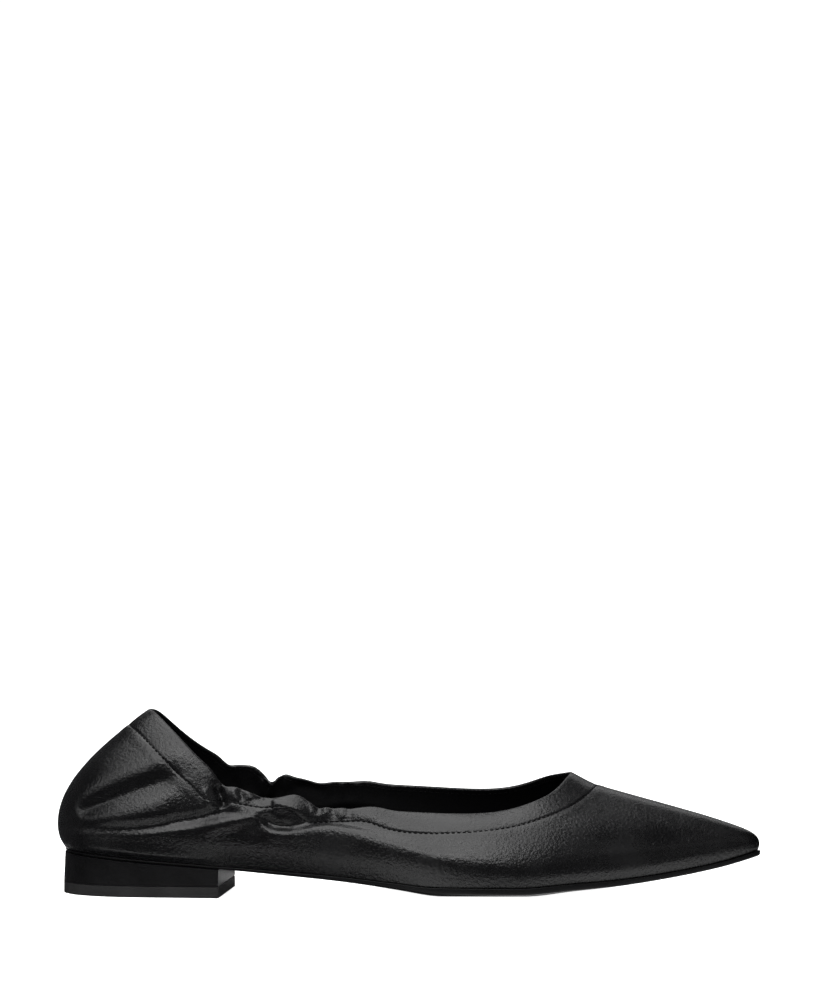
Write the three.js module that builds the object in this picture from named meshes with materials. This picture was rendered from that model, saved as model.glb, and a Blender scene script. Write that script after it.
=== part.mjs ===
import * as THREE from "three";
import { mergeVertices } from "three/addons/utils/BufferGeometryUtils.js";

// A pointed ballet flat with a gathered collar, for the right foot, in millimetres.
// x runs forward from the heel, y to the inner (medial) side of the foot, z up from the floor.

// The last and the sole
const SOLE_LENGTH = 272;
const BALL_WIDTH = 80;
const HEEL_HEIGHT = 16.3; // floor to the under face of the outsole at the back of the heel
const TOE_SPRING = 16; // floor to the under face of the outsole at the toe tip
const EDGE_LIFT = 3.6; // how far the sole's edge stands above its middle at the ball
const ARCH_RISE = 2.2; // how much higher the medial edge lies at the waist
const TREAD_SHARE = 0.15; // the flat middle of the tread, as a share of the width there
const TREAD_CURVE = 1.15; // how roundly the under face rises from there to the edge
const OUTSOLE_EDGE = 2.5; // thickness of the outsole's edge at the ball
const OUTSOLE_SEAT = 1; // thickness of the outsole over the heel
const OUTSOLE_BEVEL = 0.6; // along the outsole's lower edge
const SEAT_TUCK = 1.1; // how far the outsole draws in over the heel

// The heel
const HEEL_LENGTH = 64.5; // back of the sole to the breast
const HEEL_TUCK = 0.9; // the heel block's top edge, in from the outline
const HEEL_FLARE = 0.5; // how much wider the heel stands at its foot
const TOP_PIECE_THICKNESS = 4.2;
const HEEL_BEVEL = 0.5; // along the lower edges of the heel block and the top piece

// The upper
const UPPER_WALL = 1.5;
const FEATHER_TUCK = 1; // the upper's lower edge, in from the outline
const VAMP_LENGTH = 73.6; // toe tip to throat
const BACK_LEAN = 34.4; // how far the top of the back leans forward over the heel
const THROAT_HEIGHT = 47.5;
const SIDE_HEIGHT = 34; // lowest point of the collar, on the lateral side
const BACK_HEIGHT = 71.6;
const MEDIAL_RISE = 6; // how much higher the medial collar lies
const COLLAR_WIDTH = 60; // the opening across the ball
const THROAT_SHIFT = 2; // how far the throat lies to the medial side
const THROAT_FLARE = 2.3; // how far the rim at the throat stirs up
const BELLY = 3; // how far the walls lean out over the feather edge
const SHOULDER = 17; // height of the walls' shoulder over the feather edge
const BAND_WIDTH = 10.5; // hem band round the collar
const BAND_STEP = 0.5; // how far the band stands proud
const STEP_RUN = 0.5; // length over which the step rises
const GATHER_LIFT = 3; // height of a gather on the rim
const FOLD_DEPTH = 2; // depth of a fold in the wall

// The insole
const INSOLE_THICKNESS = 2.5;
const INSOLE_ROLL = 0.8; // round of the insole's upper edge
const INSOLE_ROOM = 0.5; // room between the insole's edge and the wall's feather edge

// Room between two pieces
const CLEARANCE = 0.3;

// Both walls, from the toe tip (first row) to the middle of the back (last row) in even steps.
// foot: half-width of the outline, of half the ball width. turn: degrees round the collar.
// wide: half-width of the collar, of half its width. rise: collar height, from the side height up
// to the throat (first rows) or to the back (last rows). over: share of the medial rise.
// belly, shoulder: place of the wall's shoulder, of those sizes. low, top: how far the wall
// runs straight at its shoulder from below and from the collar. flare: share of the throat's flare.
const WALL_COLUMNS = ["foot", "turn", "wide", "rise", "over", "belly", "shoulder", "low", "top", "flare"];
const LATERAL_WALL = [
  [0.618, 0, 1.5, 1, 0, 0.9, 0.4, 1.3, 0.78, 1],
  [0.63, 10.6, 1.48, 0.89, 0, 0.7, 0.5, 1.2, 0.75, 0.8],
  [0.775, 21.9, 1.52, 0.58, 0, 0.6, 0.72, 1, 0.7, 0.4],
  [0.99, 33.3, 1.5, 0.32, 0, 0.8, 1, 0.85, 0.65, 0.1],
  [1.107, 51, 1.27, 0, 0, 1, 1.05, 0.75, 0.6, 0],
  [0.957, 74.8, 1.01, 0.005, 0, 1.1, 0.95, 0.7, 0.55, 0],
  [0.81, 99.5, 0.93, 0.05, 0, 1.2, 0.9, 0.7, 0.5, 0],
  [0.82, 123, 1.02, 0.24, 0, 1.6, 1.05, 0.8, 0.5, 0],
  [1.075, 144.4, 1.15, 0.705, 0, 2.4, 1.2, 0.85, 0.5, 0],
  [1.335, 163.7, 1.05, 0.97, 0, 3.6, 1.25, 0.87, 0.5, 0],
  [1.425, 180, 1, 1, 0, 4.25, 1.26, 0.87, 0.48, 0],
];
const MEDIAL_WALL = [
  LATERAL_WALL[0],
  [0.63, 10.6, 1.48, 0.93, 0.15, 0.7, 0.5, 1.2, 0.75, 0.8],
  [0.745, 21.9, 1.52, 0.66, 0.6, 0.6, 0.75, 1, 0.7, 0.4],
  [0.957, 33.3, 1.5, 0.32, 0.95, 0.6, 1.05, 0.85, 0.65, 0.1],
  [0.967, 51, 1.23, -0.06, 1, 1, 1.15, 0.75, 0.6, 0],
  [0.612, 74.8, 0.88, 0.005, 1, 2, 1.1, 0.7, 0.55, 0],
  [0.552, 99.5, 0.82, 0.06, 0.95, 2, 1.05, 0.7, 0.5, 0],
  [0.772, 123, 0.98, 0.24, 0.6, 1.6, 1.05, 0.8, 0.5, 0],
  [1.055, 144.4, 1.15, 0.61, 0.1, 2.4, 1.2, 0.85, 0.5, 0],
  [1.32, 163.7, 1.05, 0.94, 0, 3.6, 1.25, 0.87, 0.5, 0],
  LATERAL_WALL.at(-1),
];

// The sole along its length, of the sole length. rise: of the heel height up to the first flat
// row and of the toe spring after it. lift: of the edge lift. thick: from seat to edge thickness.
// arch: of the arch rise. tuck: of the seat tuck.
const SOLE_COLUMNS = ["along", "rise", "lift", "thick", "arch", "tuck"];
const SOLE_PROFILE = [
  [0, 1, 0, 0, 0, 1],
  [0.14, 0.8, 0, 0, 0, 1],
  [0.229, 0.693, 0, 0, 0.2, 1],
  [0.258, 0.645, 0.08, 0.08, 0.4, 0],
  [0.316, 0.552, 0.17, 0.2, 0.9, 0],
  [0.404, 0.38, 0.44, 0.47, 1, 0],
  [0.489, 0.147, 0.81, 0.73, 0.4, 0],
  [0.551, 0, 1, 0.93, 0, 0],
  [0.669, 0, 1, 1, 0, 0],
  [0.735, 0.125, 0.83, 1, 0, 0],
  [0.805, 0.27, 0.58, 0.85, 0, 0],
  [0.882, 0.49, 0.36, 0.7, 0, 0],
  [0.945, 0.725, 0.17, 0.6, 0, 0],
  [1, 1, 0, 0.6, 0, 0],
];

// Gathers of the rim. side: -1 lateral, 1 medial. along, wide: of the sole length. lift: of the
// gather lift.
const GATHERS = [
  { side: -1, along: 0.244, wide: 0.013, lift: -0.85 },
  { side: -1, along: 0.347, wide: 0.023, lift: 1.15 },
  { side: -1, along: 0.379, wide: 0.012, lift: -0.3 },
  { side: -1, along: 0.457, wide: 0.024, lift: 0.45 },
  { side: 1, along: 0.228, wide: 0.011, lift: -0.6 },
  { side: 1, along: 0.262, wide: 0.013, lift: 0.35 },
  { side: 1, along: 0.29, wide: 0.012, lift: -0.95 },
  { side: 1, along: 0.312, wide: 0.01, lift: 0.25 },
  { side: 1, along: 0.36, wide: 0.018, lift: -0.4 },
  { side: 1, along: 0.43, wide: 0.022, lift: 0.3 },
];

// Folds of the wall, each a soft ridge or trough along a line through three points. side: -1
// lateral, 1 medial. x1 to x3: places of the points, of the sole length. z1 to z3: their heights, of
// the back height. wide: of the band width. depth: of the fold depth, outwards positive.
const FOLD_COLUMNS = ["side", "x1", "z1", "x2", "z2", "x3", "z3", "wide", "depth"];
const FOLDS = [
  [-1, 0.031, 0.447, 0.091, 0.545, 0.186, 0.664, 0.37, -1.2],
  [-1, 0.031, 0.376, 0.094, 0.401, 0.168, 0.49, 0.35, 0.38],
  [-1, 0.017, 0.262, 0.097, 0.24, 0.228, 0.208, 0.31, 0.7],
  [-1, 0.163, 0.42, 0.204, 0.441, 0.248, 0.485, 0.18, -0.4],
  [-1, 0.217, 0.376, 0.271, 0.43, 0.317, 0.501, 0.29, 0.6],
  [-1, 0.234, 0.61, 0.241, 0.545, 0.247, 0.49, 0.16, -1.5],
  [-1, 0.314, 0.501, 0.334, 0.496, 0.366, 0.458, 0.22, 0.8],
  [-1, 0.306, 0.458, 0.317, 0.403, 0.346, 0.392, 0.18, -0.65],
  [1, 0.026, 0.414, 0.086, 0.534, 0.168, 0.637, 0.33, -0.95],
  [1, 0.037, 0.376, 0.094, 0.409, 0.163, 0.501, 0.3, 0.4],
  [1, 0.017, 0.262, 0.097, 0.24, 0.228, 0.208, 0.31, 0.7],
  [1, 0.154, 0.425, 0.214, 0.468, 0.263, 0.512, 0.15, -0.7],
  [1, 0.288, 0.604, 0.29, 0.545, 0.286, 0.485, 0.15, -1.2],
  [1, 0.223, 0.409, 0.28, 0.463, 0.326, 0.534, 0.29, 0.5],
  [1, 0.323, 0.545, 0.343, 0.55, 0.371, 0.512, 0.22, 0.65],
  [1, 0.311, 0.49, 0.324, 0.441, 0.354, 0.436, 0.18, -0.6],
];

// The shelf along the wall, over which the soft leather sinks in. along: of the sole length. high:
// of the back height. above, under: how far it fades, of the band width. dip: how far the wall sinks
// in above the line. full: how far it stands out on the line, both of the fold depth.
const SHELF_COLUMNS = ["side", "along", "high", "above", "dip", "under", "full"];
const SHELF = [
  [-1, 0, 0.327, 0.33, 0, 0.22, 0],
  [-1, 0.034, 0.327, 0.33, 0.5, 0.22, 0],
  [-1, 0.097, 0.327, 0.33, 0.55, 0.22, 0.05],
  [-1, 0.197, 0.371, 0.28, 0.55, 0.22, 0.07],
  [-1, 0.263, 0.425, 0.22, 0.35, 0.41, 0.2],
  [-1, 0.288, 0.43, 0.18, 0.1, 0.44, 0.2],
  [-1, 0.317, 0.36, 0.2, 0.25, 0.26, 0.35],
  [-1, 0.348, 0.357, 0.24, 0.45, 0.3, 0.5],
  [-1, 0.397, 0.384, 0.3, 0.6, 0.44, 0.75],
  [-1, 0.485, 0.314, 0.37, 0.45, 0.44, 0.55],
  [-1, 0.571, 0.235, 0.44, 0.1, 0.37, 0.2],
  [-1, 0.711, 0.186, 0.48, 0, 0.37, 0],
  [1, 0, 0.327, 0.33, 0, 0.22, 0],
  [1, 0.034, 0.327, 0.33, 0.45, 0.22, 0],
  [1, 0.097, 0.338, 0.33, 0.5, 0.22, 0.05],
  [1, 0.204, 0.398, 0.28, 0.5, 0.22, 0.07],
  [1, 0.268, 0.452, 0.22, 0.35, 0.41, 0.2],
  [1, 0.294, 0.458, 0.18, 0.15, 0.44, 0.2],
  [1, 0.326, 0.398, 0.2, 0.25, 0.26, 0.3],
  [1, 0.361, 0.398, 0.24, 0.4, 0.3, 0.4],
  [1, 0.404, 0.414, 0.3, 0.55, 0.44, 0.55],
  [1, 0.483, 0.349, 0.37, 0.35, 0.44, 0.4],
  [1, 0.583, 0.251, 0.48, 0.05, 0.37, 0.15],
  [1, 0.711, 0.197, 0.48, 0, 0.37, 0],
];
const FOLD_START = 0.06; // where the folds have died out towards the feather edge, of the wall

// Where the loop round the upper is divided: from, to, number of steps on one side.
const LOOP_STEPS = [
  [0, 0.27, 24],
  [0.27, 0.385, 28],
  [0.385, 0.5, 12],
];
const WALL_ROWS = 11;
const LINING_ROWS = 7;
const BAND_ROWS = [0.66, 0.36]; // places of the rows inside the band, of its width
const RIM_TURN = 0.3; // place of the rim's rounding, of half its thickness
const SOLE_STEPS = 36;
const HEEL_STEPS = 12;
const ACROSS = [-1, -0.75, -0.5, -0.3, -TREAD_SHARE, TREAD_SHARE, 0.3, 0.5, 0.75, 1];

// A smooth closed curve through evenly spaced values, with one bend throughout.
function closedSpline(values) {
  const count = values.length;
  const at = (list, i) => list[(i + count) % count];
  const slopes = values.map(() => 0);
  for (let sweep = 0; sweep < 60; sweep += 1) {
    for (let i = 0; i < count; i += 1) {
      const pull = 3 * (at(values, i + 1) - at(values, i - 1));
      slopes[i] = (pull - at(slopes, i - 1) - at(slopes, i + 1)) / 4;
    }
  }
  return (share) => {
    const place = (((share % 1) + 1) % 1) * count;
    const i = Math.floor(place) % count;
    const j = (i + 1) % count;
    const t = place - Math.floor(place);
    const ends = values[i] * (1 + 2 * t) * (1 - t) ** 2 + values[j] * t * t * (3 - 2 * t);
    return ends + slopes[i] * t * (1 - t) ** 2 - slopes[j] * t * t * (1 - t);
  };
}

// A curve through rising stations that never overshoots them.
function openSpline(stations, values) {
  const last = stations.length - 1;
  const grade = (i) => (values[i + 1] - values[i]) / (stations[i + 1] - stations[i]);
  const slopes = values.map((value, i) => {
    if (i === 0) return grade(0);
    if (i === last) return grade(last - 1);
    const before = grade(i - 1);
    const after = grade(i);
    return before * after <= 0 ? 0 : (2 * before * after) / (before + after);
  });
  return (place) => {
    const x = Math.min(Math.max(place, stations[0]), stations[last]);
    let i = 0;
    while (i < last - 1 && x > stations[i + 1]) i += 1;
    const run = stations[i + 1] - stations[i];
    const t = (x - stations[i]) / run;
    const ends = values[i] * (1 + 2 * t) * (1 - t) ** 2 + values[i + 1] * t * t * (3 - 2 * t);
    return ends + run * (slopes[i] * t * (1 - t) ** 2 - slopes[i + 1] * t * t * (1 - t));
  };
}

// A column of the wall tables as one loop: toe, lateral side, back, medial side. The loop's share
// runs from 0 at the toe tip through 0.5 at the back to 1.
function wallLoop(name, size) {
  const column = WALL_COLUMNS.indexOf(name);
  const lateral = LATERAL_WALL.map((row, i) => size(row[column], i));
  const medial = MEDIAL_WALL.map((row, i) => size(row[column], i));
  return lateral.concat(medial.slice(1, -1).reverse());
}

// A row of a table as an object, by the names of its columns.
function named(columns, row) {
  return Object.fromEntries(columns.map((name, i) => [name, row[i]]));
}

const LOWEST_ROW = LATERAL_WALL.findIndex((row) => named(WALL_COLUMNS, row).rise === 0);
const RISE_FRONT = THROAT_HEIGHT - THROAT_FLARE - SIDE_HEIGHT;
const RISE_BACK = BACK_HEIGHT - SIDE_HEIGHT;
const footHalf = closedSpline(wallLoop("foot", (share) => (share * BALL_WIDTH) / 2));
const collarHalf = closedSpline(wallLoop("wide", (share) => (share * COLLAR_WIDTH) / 2));
const collarRise = closedSpline(wallLoop("rise", (share, i) => share * (i <= LOWEST_ROW ? RISE_FRONT : RISE_BACK)));
const medialRise = closedSpline(wallLoop("over", (share) => share * MEDIAL_RISE));
const belly = closedSpline(wallLoop("belly", (share) => share * BELLY));
const shoulder = closedSpline(wallLoop("shoulder", (share) => share * SHOULDER));
const lowRun = closedSpline(wallLoop("low", (share) => share));
const topRun = closedSpline(wallLoop("top", (share) => share));
const flare = closedSpline(wallLoop("flare", (share) => share * THROAT_FLARE));
const turns = wallLoop("turn", (degrees) => degrees);
const turnExtra = closedSpline(turns.map((degrees, i) => {
  const even = (360 * i) / turns.length;
  return (i * 2 > turns.length ? 360 - degrees : degrees) - even;
}));

const stations = SOLE_PROFILE.map((row) => row[0] * SOLE_LENGTH);
const soleColumn = (name, size) => {
  const column = SOLE_COLUMNS.indexOf(name);
  return openSpline(stations, SOLE_PROFILE.map((row, i) => size(row[column], i)));
};
const FIRST_FLAT_ROW = SOLE_PROFILE.findIndex((row) => named(SOLE_COLUMNS, row).rise === 0);
const soleRise = soleColumn("rise", (share, i) => share * (i <= FIRST_FLAT_ROW ? HEEL_HEIGHT : TOE_SPRING));
const soleLift = soleColumn("lift", (share) => share * EDGE_LIFT);
const soleThick = soleColumn("thick", (share) => OUTSOLE_SEAT + share * (OUTSOLE_EDGE - OUTSOLE_SEAT));
const soleArch = soleColumn("arch", (share) => share * ARCH_RISE);
const soleTuck = soleColumn("tuck", (share) => share * SEAT_TUCK);

// The outline of the sole at a share of the loop, drawn in by tuck, with its outward direction.
function outline(share, tuck) {
  const at = (s) => {
    const angle = 2 * Math.PI * s;
    const x = (SOLE_LENGTH / 2) * (1 + Math.cos(angle));
    return new THREE.Vector2(x, -Math.sin(angle) * footHalf(s));
  };
  const small = 1e-4;
  const along = at(share + small).sub(at(share - small)).normalize();
  const out = new THREE.Vector2(-along.y, along.x);
  const point = at(share);
  return { point: point.addScaledVector(out, -tuck), out };
}

// Height of the sole's under face at x, across from the lateral edge (-1) to the medial edge (1).
function soleUnder(x, across) {
  const edge = Math.max(0, (Math.abs(across) - TREAD_SHARE) / (1 - TREAD_SHARE));
  const arch = soleArch(x) * Math.max(0, across);
  return soleRise(x) + soleLift(x) * edge ** TREAD_CURVE + arch;
}

// Height of the sole's upper face, straight across from edge to edge.
function soleUpper(x, across) {
  const lateral = soleUnder(x, -1);
  const medial = soleUnder(x, 1);
  return soleThick(x) + (lateral * (1 - across)) / 2 + (medial * (1 + across)) / 2;
}

// How far the gathers lift the rim at x on one side.
function gatherLift(x, side) {
  let lift = 0;
  for (const gather of GATHERS) {
    const off = (x - gather.along * SOLE_LENGTH) / (gather.wide * SOLE_LENGTH);
    if (gather.side === side) lift += gather.lift * GATHER_LIFT * Math.exp(-off * off);
  }
  return lift;
}

const folds = FOLDS.map((row) => {
  const fold = named(FOLD_COLUMNS, row);
  const corner = (x, z) => new THREE.Vector3(x * SOLE_LENGTH, 0, z * BACK_HEIGHT);
  const middle = corner(fold.x2, fold.z2);
  const lines = [
    new THREE.Line3(corner(fold.x1, fold.z1), middle),
    new THREE.Line3(middle, corner(fold.x3, fold.z3)),
  ];
  return { ...fold, lines };
});

const shelves = [-1, 1].map((side) => {
  const rows = SHELF.map((row) => named(SHELF_COLUMNS, row)).filter((row) => row.side === side);
  const places = rows.map((row) => row.along * SOLE_LENGTH);
  const curve = (name, size) => openSpline(places, rows.map((row) => row[name] * size));
  return {
    side,
    high: curve("high", BACK_HEIGHT),
    above: curve("above", BAND_WIDTH),
    dip: curve("dip", FOLD_DEPTH),
    under: curve("under", BAND_WIDTH),
    full: curve("full", FOLD_DEPTH),
  };
});

// How far the folds push the wall out at a point on one side.
function foldDepth(point, side) {
  const flat = new THREE.Vector3(point.x, 0, point.z);
  const nearest = new THREE.Vector3();
  let depth = 0;
  for (const fold of folds) {
    const gaps = fold.lines.map((line) => line.closestPointToPoint(flat, true, nearest).distanceTo(flat));
    const off = Math.min(...gaps) / (fold.wide * BAND_WIDTH);
    if (fold.side === side) depth += fold.depth * FOLD_DEPTH * Math.exp(-off * off);
  }
  return depth;
}

// How far the shelf pushes the wall out at a point on one side.
function shelfDepth(point, side) {
  const shelf = shelves.find((each) => each.side === side);
  const off = point.z - shelf.high(point.x);
  const fade = off > 0 ? shelf.above(point.x) : shelf.under(point.x);
  const above = (Math.max(0, off) / fade) ** 2;
  const full = shelf.full(point.x) * Math.exp(-((off / fade) ** 2));
  return full - shelf.dip(point.x) * above * Math.exp(1 - above);
}

// The wall at a share of the loop: a curve from the feather edge to the collar's rim.
function wallCurve(share) {
  const { point, out } = outline(share, FEATHER_TUCK);
  const side = share > 0.5 ? 1 : -1;
  const feather = new THREE.Vector3(point.x, point.y, soleUpper(point.x, side) + CLEARANCE);
  const turn = THREE.MathUtils.degToRad(turnExtra(share) + 360 * share);
  const front = SOLE_LENGTH - VAMP_LENGTH;
  const rim = new THREE.Vector3(
    (front + BACK_LEAN) / 2 + ((front - BACK_LEAN) / 2) * Math.cos(turn),
    (THROAT_SHIFT * (1 + Math.cos(turn))) / 2 - Math.sin(turn) * collarHalf(share),
    SIDE_HEIGHT + collarRise(share) + medialRise(share),
  );
  rim.z += gatherLift(rim.x, side);
  const bend = feather.clone();
  bend.x += out.x * belly(share);
  bend.y += out.y * belly(share);
  bend.z += shoulder(share);
  const low = feather.clone().lerp(bend, lowRun(share));
  const top = rim.clone().lerp(bend, topRun(share));
  return new THREE.CubicBezierCurve3(feather, low, top, rim);
}

// The skin at one share of the loop, as a function of the place on the wall's curve and of the
// distance outwards from the skin, and the place that lies at a distance from the rim.
function wallSkin(share) {
  const side = share > 0.5 ? 1 : -1;
  const small = 1e-3;
  const curve = wallCurve(share);
  const before = wallCurve(share - small + (share < small ? 1 : 0));
  const after = wallCurve(share + small - (share > 1 - small ? 1 : 0));
  const lengths = [];
  const pieces = 80;
  let total = 0;
  for (let i = pieces; i > 0; i -= 1) {
    lengths.push(total);
    total += curve.getPoint(i / pieces).distanceTo(curve.getPoint((i - 1) / pieces));
  }
  lengths.push(total);
  const placeAt = (distance) => {
    let i = 1;
    while (i < pieces && lengths[i] < distance) i += 1;
    const part = (distance - lengths[i - 1]) / (lengths[i] - lengths[i - 1]);
    return 1 - (i - 1 + part) / pieces;
  };
  const bandFoot = placeAt(BAND_WIDTH);
  const lift = flare(share);
  const at = (place, outwards) => {
    const along = after.getPoint(place).sub(before.getPoint(place));
    const up = curve.getTangent(place);
    const normal = up.cross(along).normalize();
    const point = curve.getPoint(place);
    const ease = THREE.MathUtils.smoothstep(place, 0, FOLD_START);
    const fold = (foldDepth(point, side) + shelfDepth(point, side)) * ease;
    point.addScaledVector(normal, outwards + fold);
    point.z += lift * Math.max(0, (place - bandFoot) / (1 - bandFoot)) ** 1.5;
    return point;
  };
  return { at, placeAt };
}

// One section through the upper's wall: up the outside, over the rim and down the inside.
function upperSection(share) {
  const { at, placeAt } = wallSkin(share);
  const rim = (UPPER_WALL + BAND_STEP) / 2;
  const section = [];
  const wallTop = placeAt(BAND_WIDTH + STEP_RUN / 2);
  for (let i = 0; i <= WALL_ROWS; i += 1) section.push(at((wallTop * i) / WALL_ROWS, 0));
  section.push(at(placeAt(BAND_WIDTH - STEP_RUN / 2), BAND_STEP));
  for (const row of BAND_ROWS) section.push(at(placeAt(BAND_WIDTH * row), BAND_STEP));
  section.push(at(placeAt(rim), BAND_STEP));
  section.push(at(placeAt(rim * RIM_TURN), BAND_STEP - rim * RIM_TURN));
  section.push(at(1, BAND_STEP - rim));
  section.push(at(placeAt(rim * RIM_TURN), rim * RIM_TURN - UPPER_WALL));
  section.push(at(placeAt(rim), -UPPER_WALL));
  for (const row of BAND_ROWS) section.push(at(placeAt(BAND_WIDTH * row), -UPPER_WALL));
  for (let i = LINING_ROWS; i >= 0; i -= 1) section.push(at((wallTop * i) / LINING_ROWS, -UPPER_WALL));
  section[section.length - 1].z = section[0].z;
  return section;
}

// Solids

// A closed body from a row of equal sections. A ring joins its last section to its first, and
// otherwise each end is closed across its section.
function bodyOf(sections, ring) {
  const size = sections[0].length;
  const positions = sections.flat().flatMap((point) => [point.x, point.y, point.z]);
  const corners = [];
  const quad = (a, b, c, d) => corners.push(a, b, c, a, c, d);
  const joins = ring ? sections.length : sections.length - 1;
  for (let i = 0; i < joins; i += 1) {
    const here = i * size;
    const next = ((i + 1) % sections.length) * size;
    for (let k = 0; k < size; k += 1) {
      const up = (k + 1) % size;
      quad(here + k, next + k, next + up, here + up);
    }
  }
  if (!ring) {
    const end = (sections.length - 1) * size;
    for (let k = 0; k < size / 2; k += 1) {
      const mate = (size - k) % size;
      quad(k, k + 1, size - k - 1, mate);
      quad(end + k, end + mate, end + size - k - 1, end + k + 1);
    }
  }
  const loose = new THREE.BufferGeometry();
  loose.setAttribute("position", new THREE.Float32BufferAttribute(positions, 3));
  loose.setIndex(corners);
  const body = mergeVertices(loose, 1e-4);
  const index = Array.from(body.index.array);
  const kept = [];
  for (let i = 0; i < index.length; i += 3) {
    const [a, b, c] = index.slice(i, i + 3);
    if (a !== b && b !== c && c !== a) kept.push(a, b, c);
  }
  const point = (i) => new THREE.Vector3().fromBufferAttribute(body.attributes.position, i);
  let volume = 0;
  for (let i = 0; i < kept.length; i += 3) {
    volume += point(kept[i]).dot(point(kept[i + 1]).cross(point(kept[i + 2])));
  }
  if (volume < 0) kept.reverse();
  body.setIndex(kept);
  body.computeVertexNormals();
  return body;
}

// A section across a flat piece at a share of the loop: the lateral edge, the under face, the
// medial edge and the upper face. Each level has a tuck from the outline and a height.
function slabSection(share, { under, edge, upper }, squareTo) {
  const pointAt = (level, across) => {
    const lateral = outline(share, level.tuck).point;
    const medial = outline(1 - share, level.tuck).point;
    const middle = (across + 1) / 2;
    const x = squareTo ?? THREE.MathUtils.lerp(lateral.x, medial.x, middle);
    const y = THREE.MathUtils.lerp(lateral.y, medial.y, middle);
    const tip = lateral.distanceTo(medial) < CLEARANCE;
    return new THREE.Vector3(x, tip ? 0 : y, level.height(x, tip ? 1 : across));
  };
  return [
    pointAt(edge, -1),
    ...ACROSS.map((across) => pointAt(under, across)),
    pointAt(edge, 1),
    ...ACROSS.map((across) => pointAt(upper, -across)),
  ];
}

function outsoleBody() {
  const sections = [];
  for (let i = 0; i <= SOLE_STEPS; i += 1) {
    const share = (0.5 * i) / SOLE_STEPS;
    const tuck = soleTuck(outline(share, 0).point.x);
    sections.push(slabSection(share, {
      under: { tuck: tuck + OUTSOLE_BEVEL, height: soleUnder },
      edge: { tuck, height: (x, across) => soleUnder(x, across) + OUTSOLE_BEVEL },
      upper: { tuck, height: soleUpper },
    }));
  }
  return bodyOf(sections, false);
}

function insoleBody() {
  const tuck = FEATHER_TUCK + UPPER_WALL + INSOLE_ROOM;
  const above = (rise) => (x, across) => soleUpper(x, across) + CLEARANCE + rise;
  const sections = [];
  for (let i = 0; i <= SOLE_STEPS; i += 1) {
    const share = (0.5 * i) / SOLE_STEPS;
    sections.push(slabSection(share, {
      under: { tuck, height: above(0) },
      edge: { tuck, height: above(INSOLE_THICKNESS - INSOLE_ROLL) },
      upper: { tuck: tuck + INSOLE_ROLL, height: above(INSOLE_THICKNESS) },
    }));
  }
  return bodyOf(sections, false);
}

// The share of the loop at which the outline stands over the heel's breast.
const BREAST_SHARE = Math.acos((2 * HEEL_LENGTH) / SOLE_LENGTH - 1) / (2 * Math.PI);

// A layer of the heel from its foot to its upper face, with a straight breast.
function heelBody(foot, upperTuck, upperHeight) {
  const tuck = HEEL_TUCK - HEEL_FLARE;
  const sections = [];
  for (let i = 0; i <= HEEL_STEPS; i += 1) {
    const share = BREAST_SHARE + ((0.5 - BREAST_SHARE) * i) / HEEL_STEPS;
    const levels = {
      under: { tuck: tuck + HEEL_BEVEL, height: () => foot },
      edge: { tuck, height: () => foot + HEEL_BEVEL },
      upper: { tuck: upperTuck, height: upperHeight },
    };
    sections.push(slabSection(share, levels, i === 0 ? HEEL_LENGTH : undefined));
  }
  return bodyOf(sections, false);
}

function heelBlockBody() {
  const seat = (x, across) => soleUnder(x, across) - CLEARANCE;
  return heelBody(TOP_PIECE_THICKNESS + CLEARANCE, HEEL_TUCK, seat);
}

function topPieceBody() {
  return heelBody(0, HEEL_TUCK - HEEL_FLARE, () => TOP_PIECE_THICKNESS);
}

function upperBody() {
  const shares = [];
  for (const [from, to, steps] of LOOP_STEPS) {
    for (let i = 0; i < steps; i += 1) shares.push(from + ((to - from) * i) / steps);
  }
  const back = shares.slice(1).reverse().map((share) => 1 - share);
  return bodyOf([...shares, 0.5, ...back].map(upperSection), true);
}

const LEATHER = { color: 0x15151a, roughness: 0.42, metalness: 0 };
const LINING = { color: 0x1b1a1c, roughness: 0.6, metalness: 0 };
const SOLE_LEATHER = { color: 0x121214, roughness: 0.5, metalness: 0 };
const RUBBER = { color: 0x2b2b2d, roughness: 0.75, metalness: 0 };

const shoe = new THREE.Group();
const pieces = [
  ["upper", upperBody(), LEATHER],
  ["insole", insoleBody(), LINING],
  ["outsole", outsoleBody(), SOLE_LEATHER],
  ["heel_block", heelBlockBody(), LEATHER],
  ["heel_top_piece", topPieceBody(), RUBBER],
];
for (const [name, body, finish] of pieces) {
  const mesh = new THREE.Mesh(body, new THREE.MeshStandardMaterial(finish));
  mesh.name = name;
  shoe.add(mesh);
}

// The origin is on the floor under the middle of the shoe.
const box = new THREE.Box3().setFromObject(shoe);
shoe.position.set(-(box.min.x + box.max.x) / 2, -(box.min.y + box.max.y) / 2, 0);

export default shoe;
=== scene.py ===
# %% [markdown]
# # A pointed ballet flat with a gathered collar
# This notebook dresses the solids of a right ballet flat: a soft black leather upper with a hem band
# round its collar, elastic gathers at both sides, a thin outsole and a low covered heel.
# Each piece is a surface worked out with numpy in millimetres and handed to Blender in metres.

# %% Load the solids
import math

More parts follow.
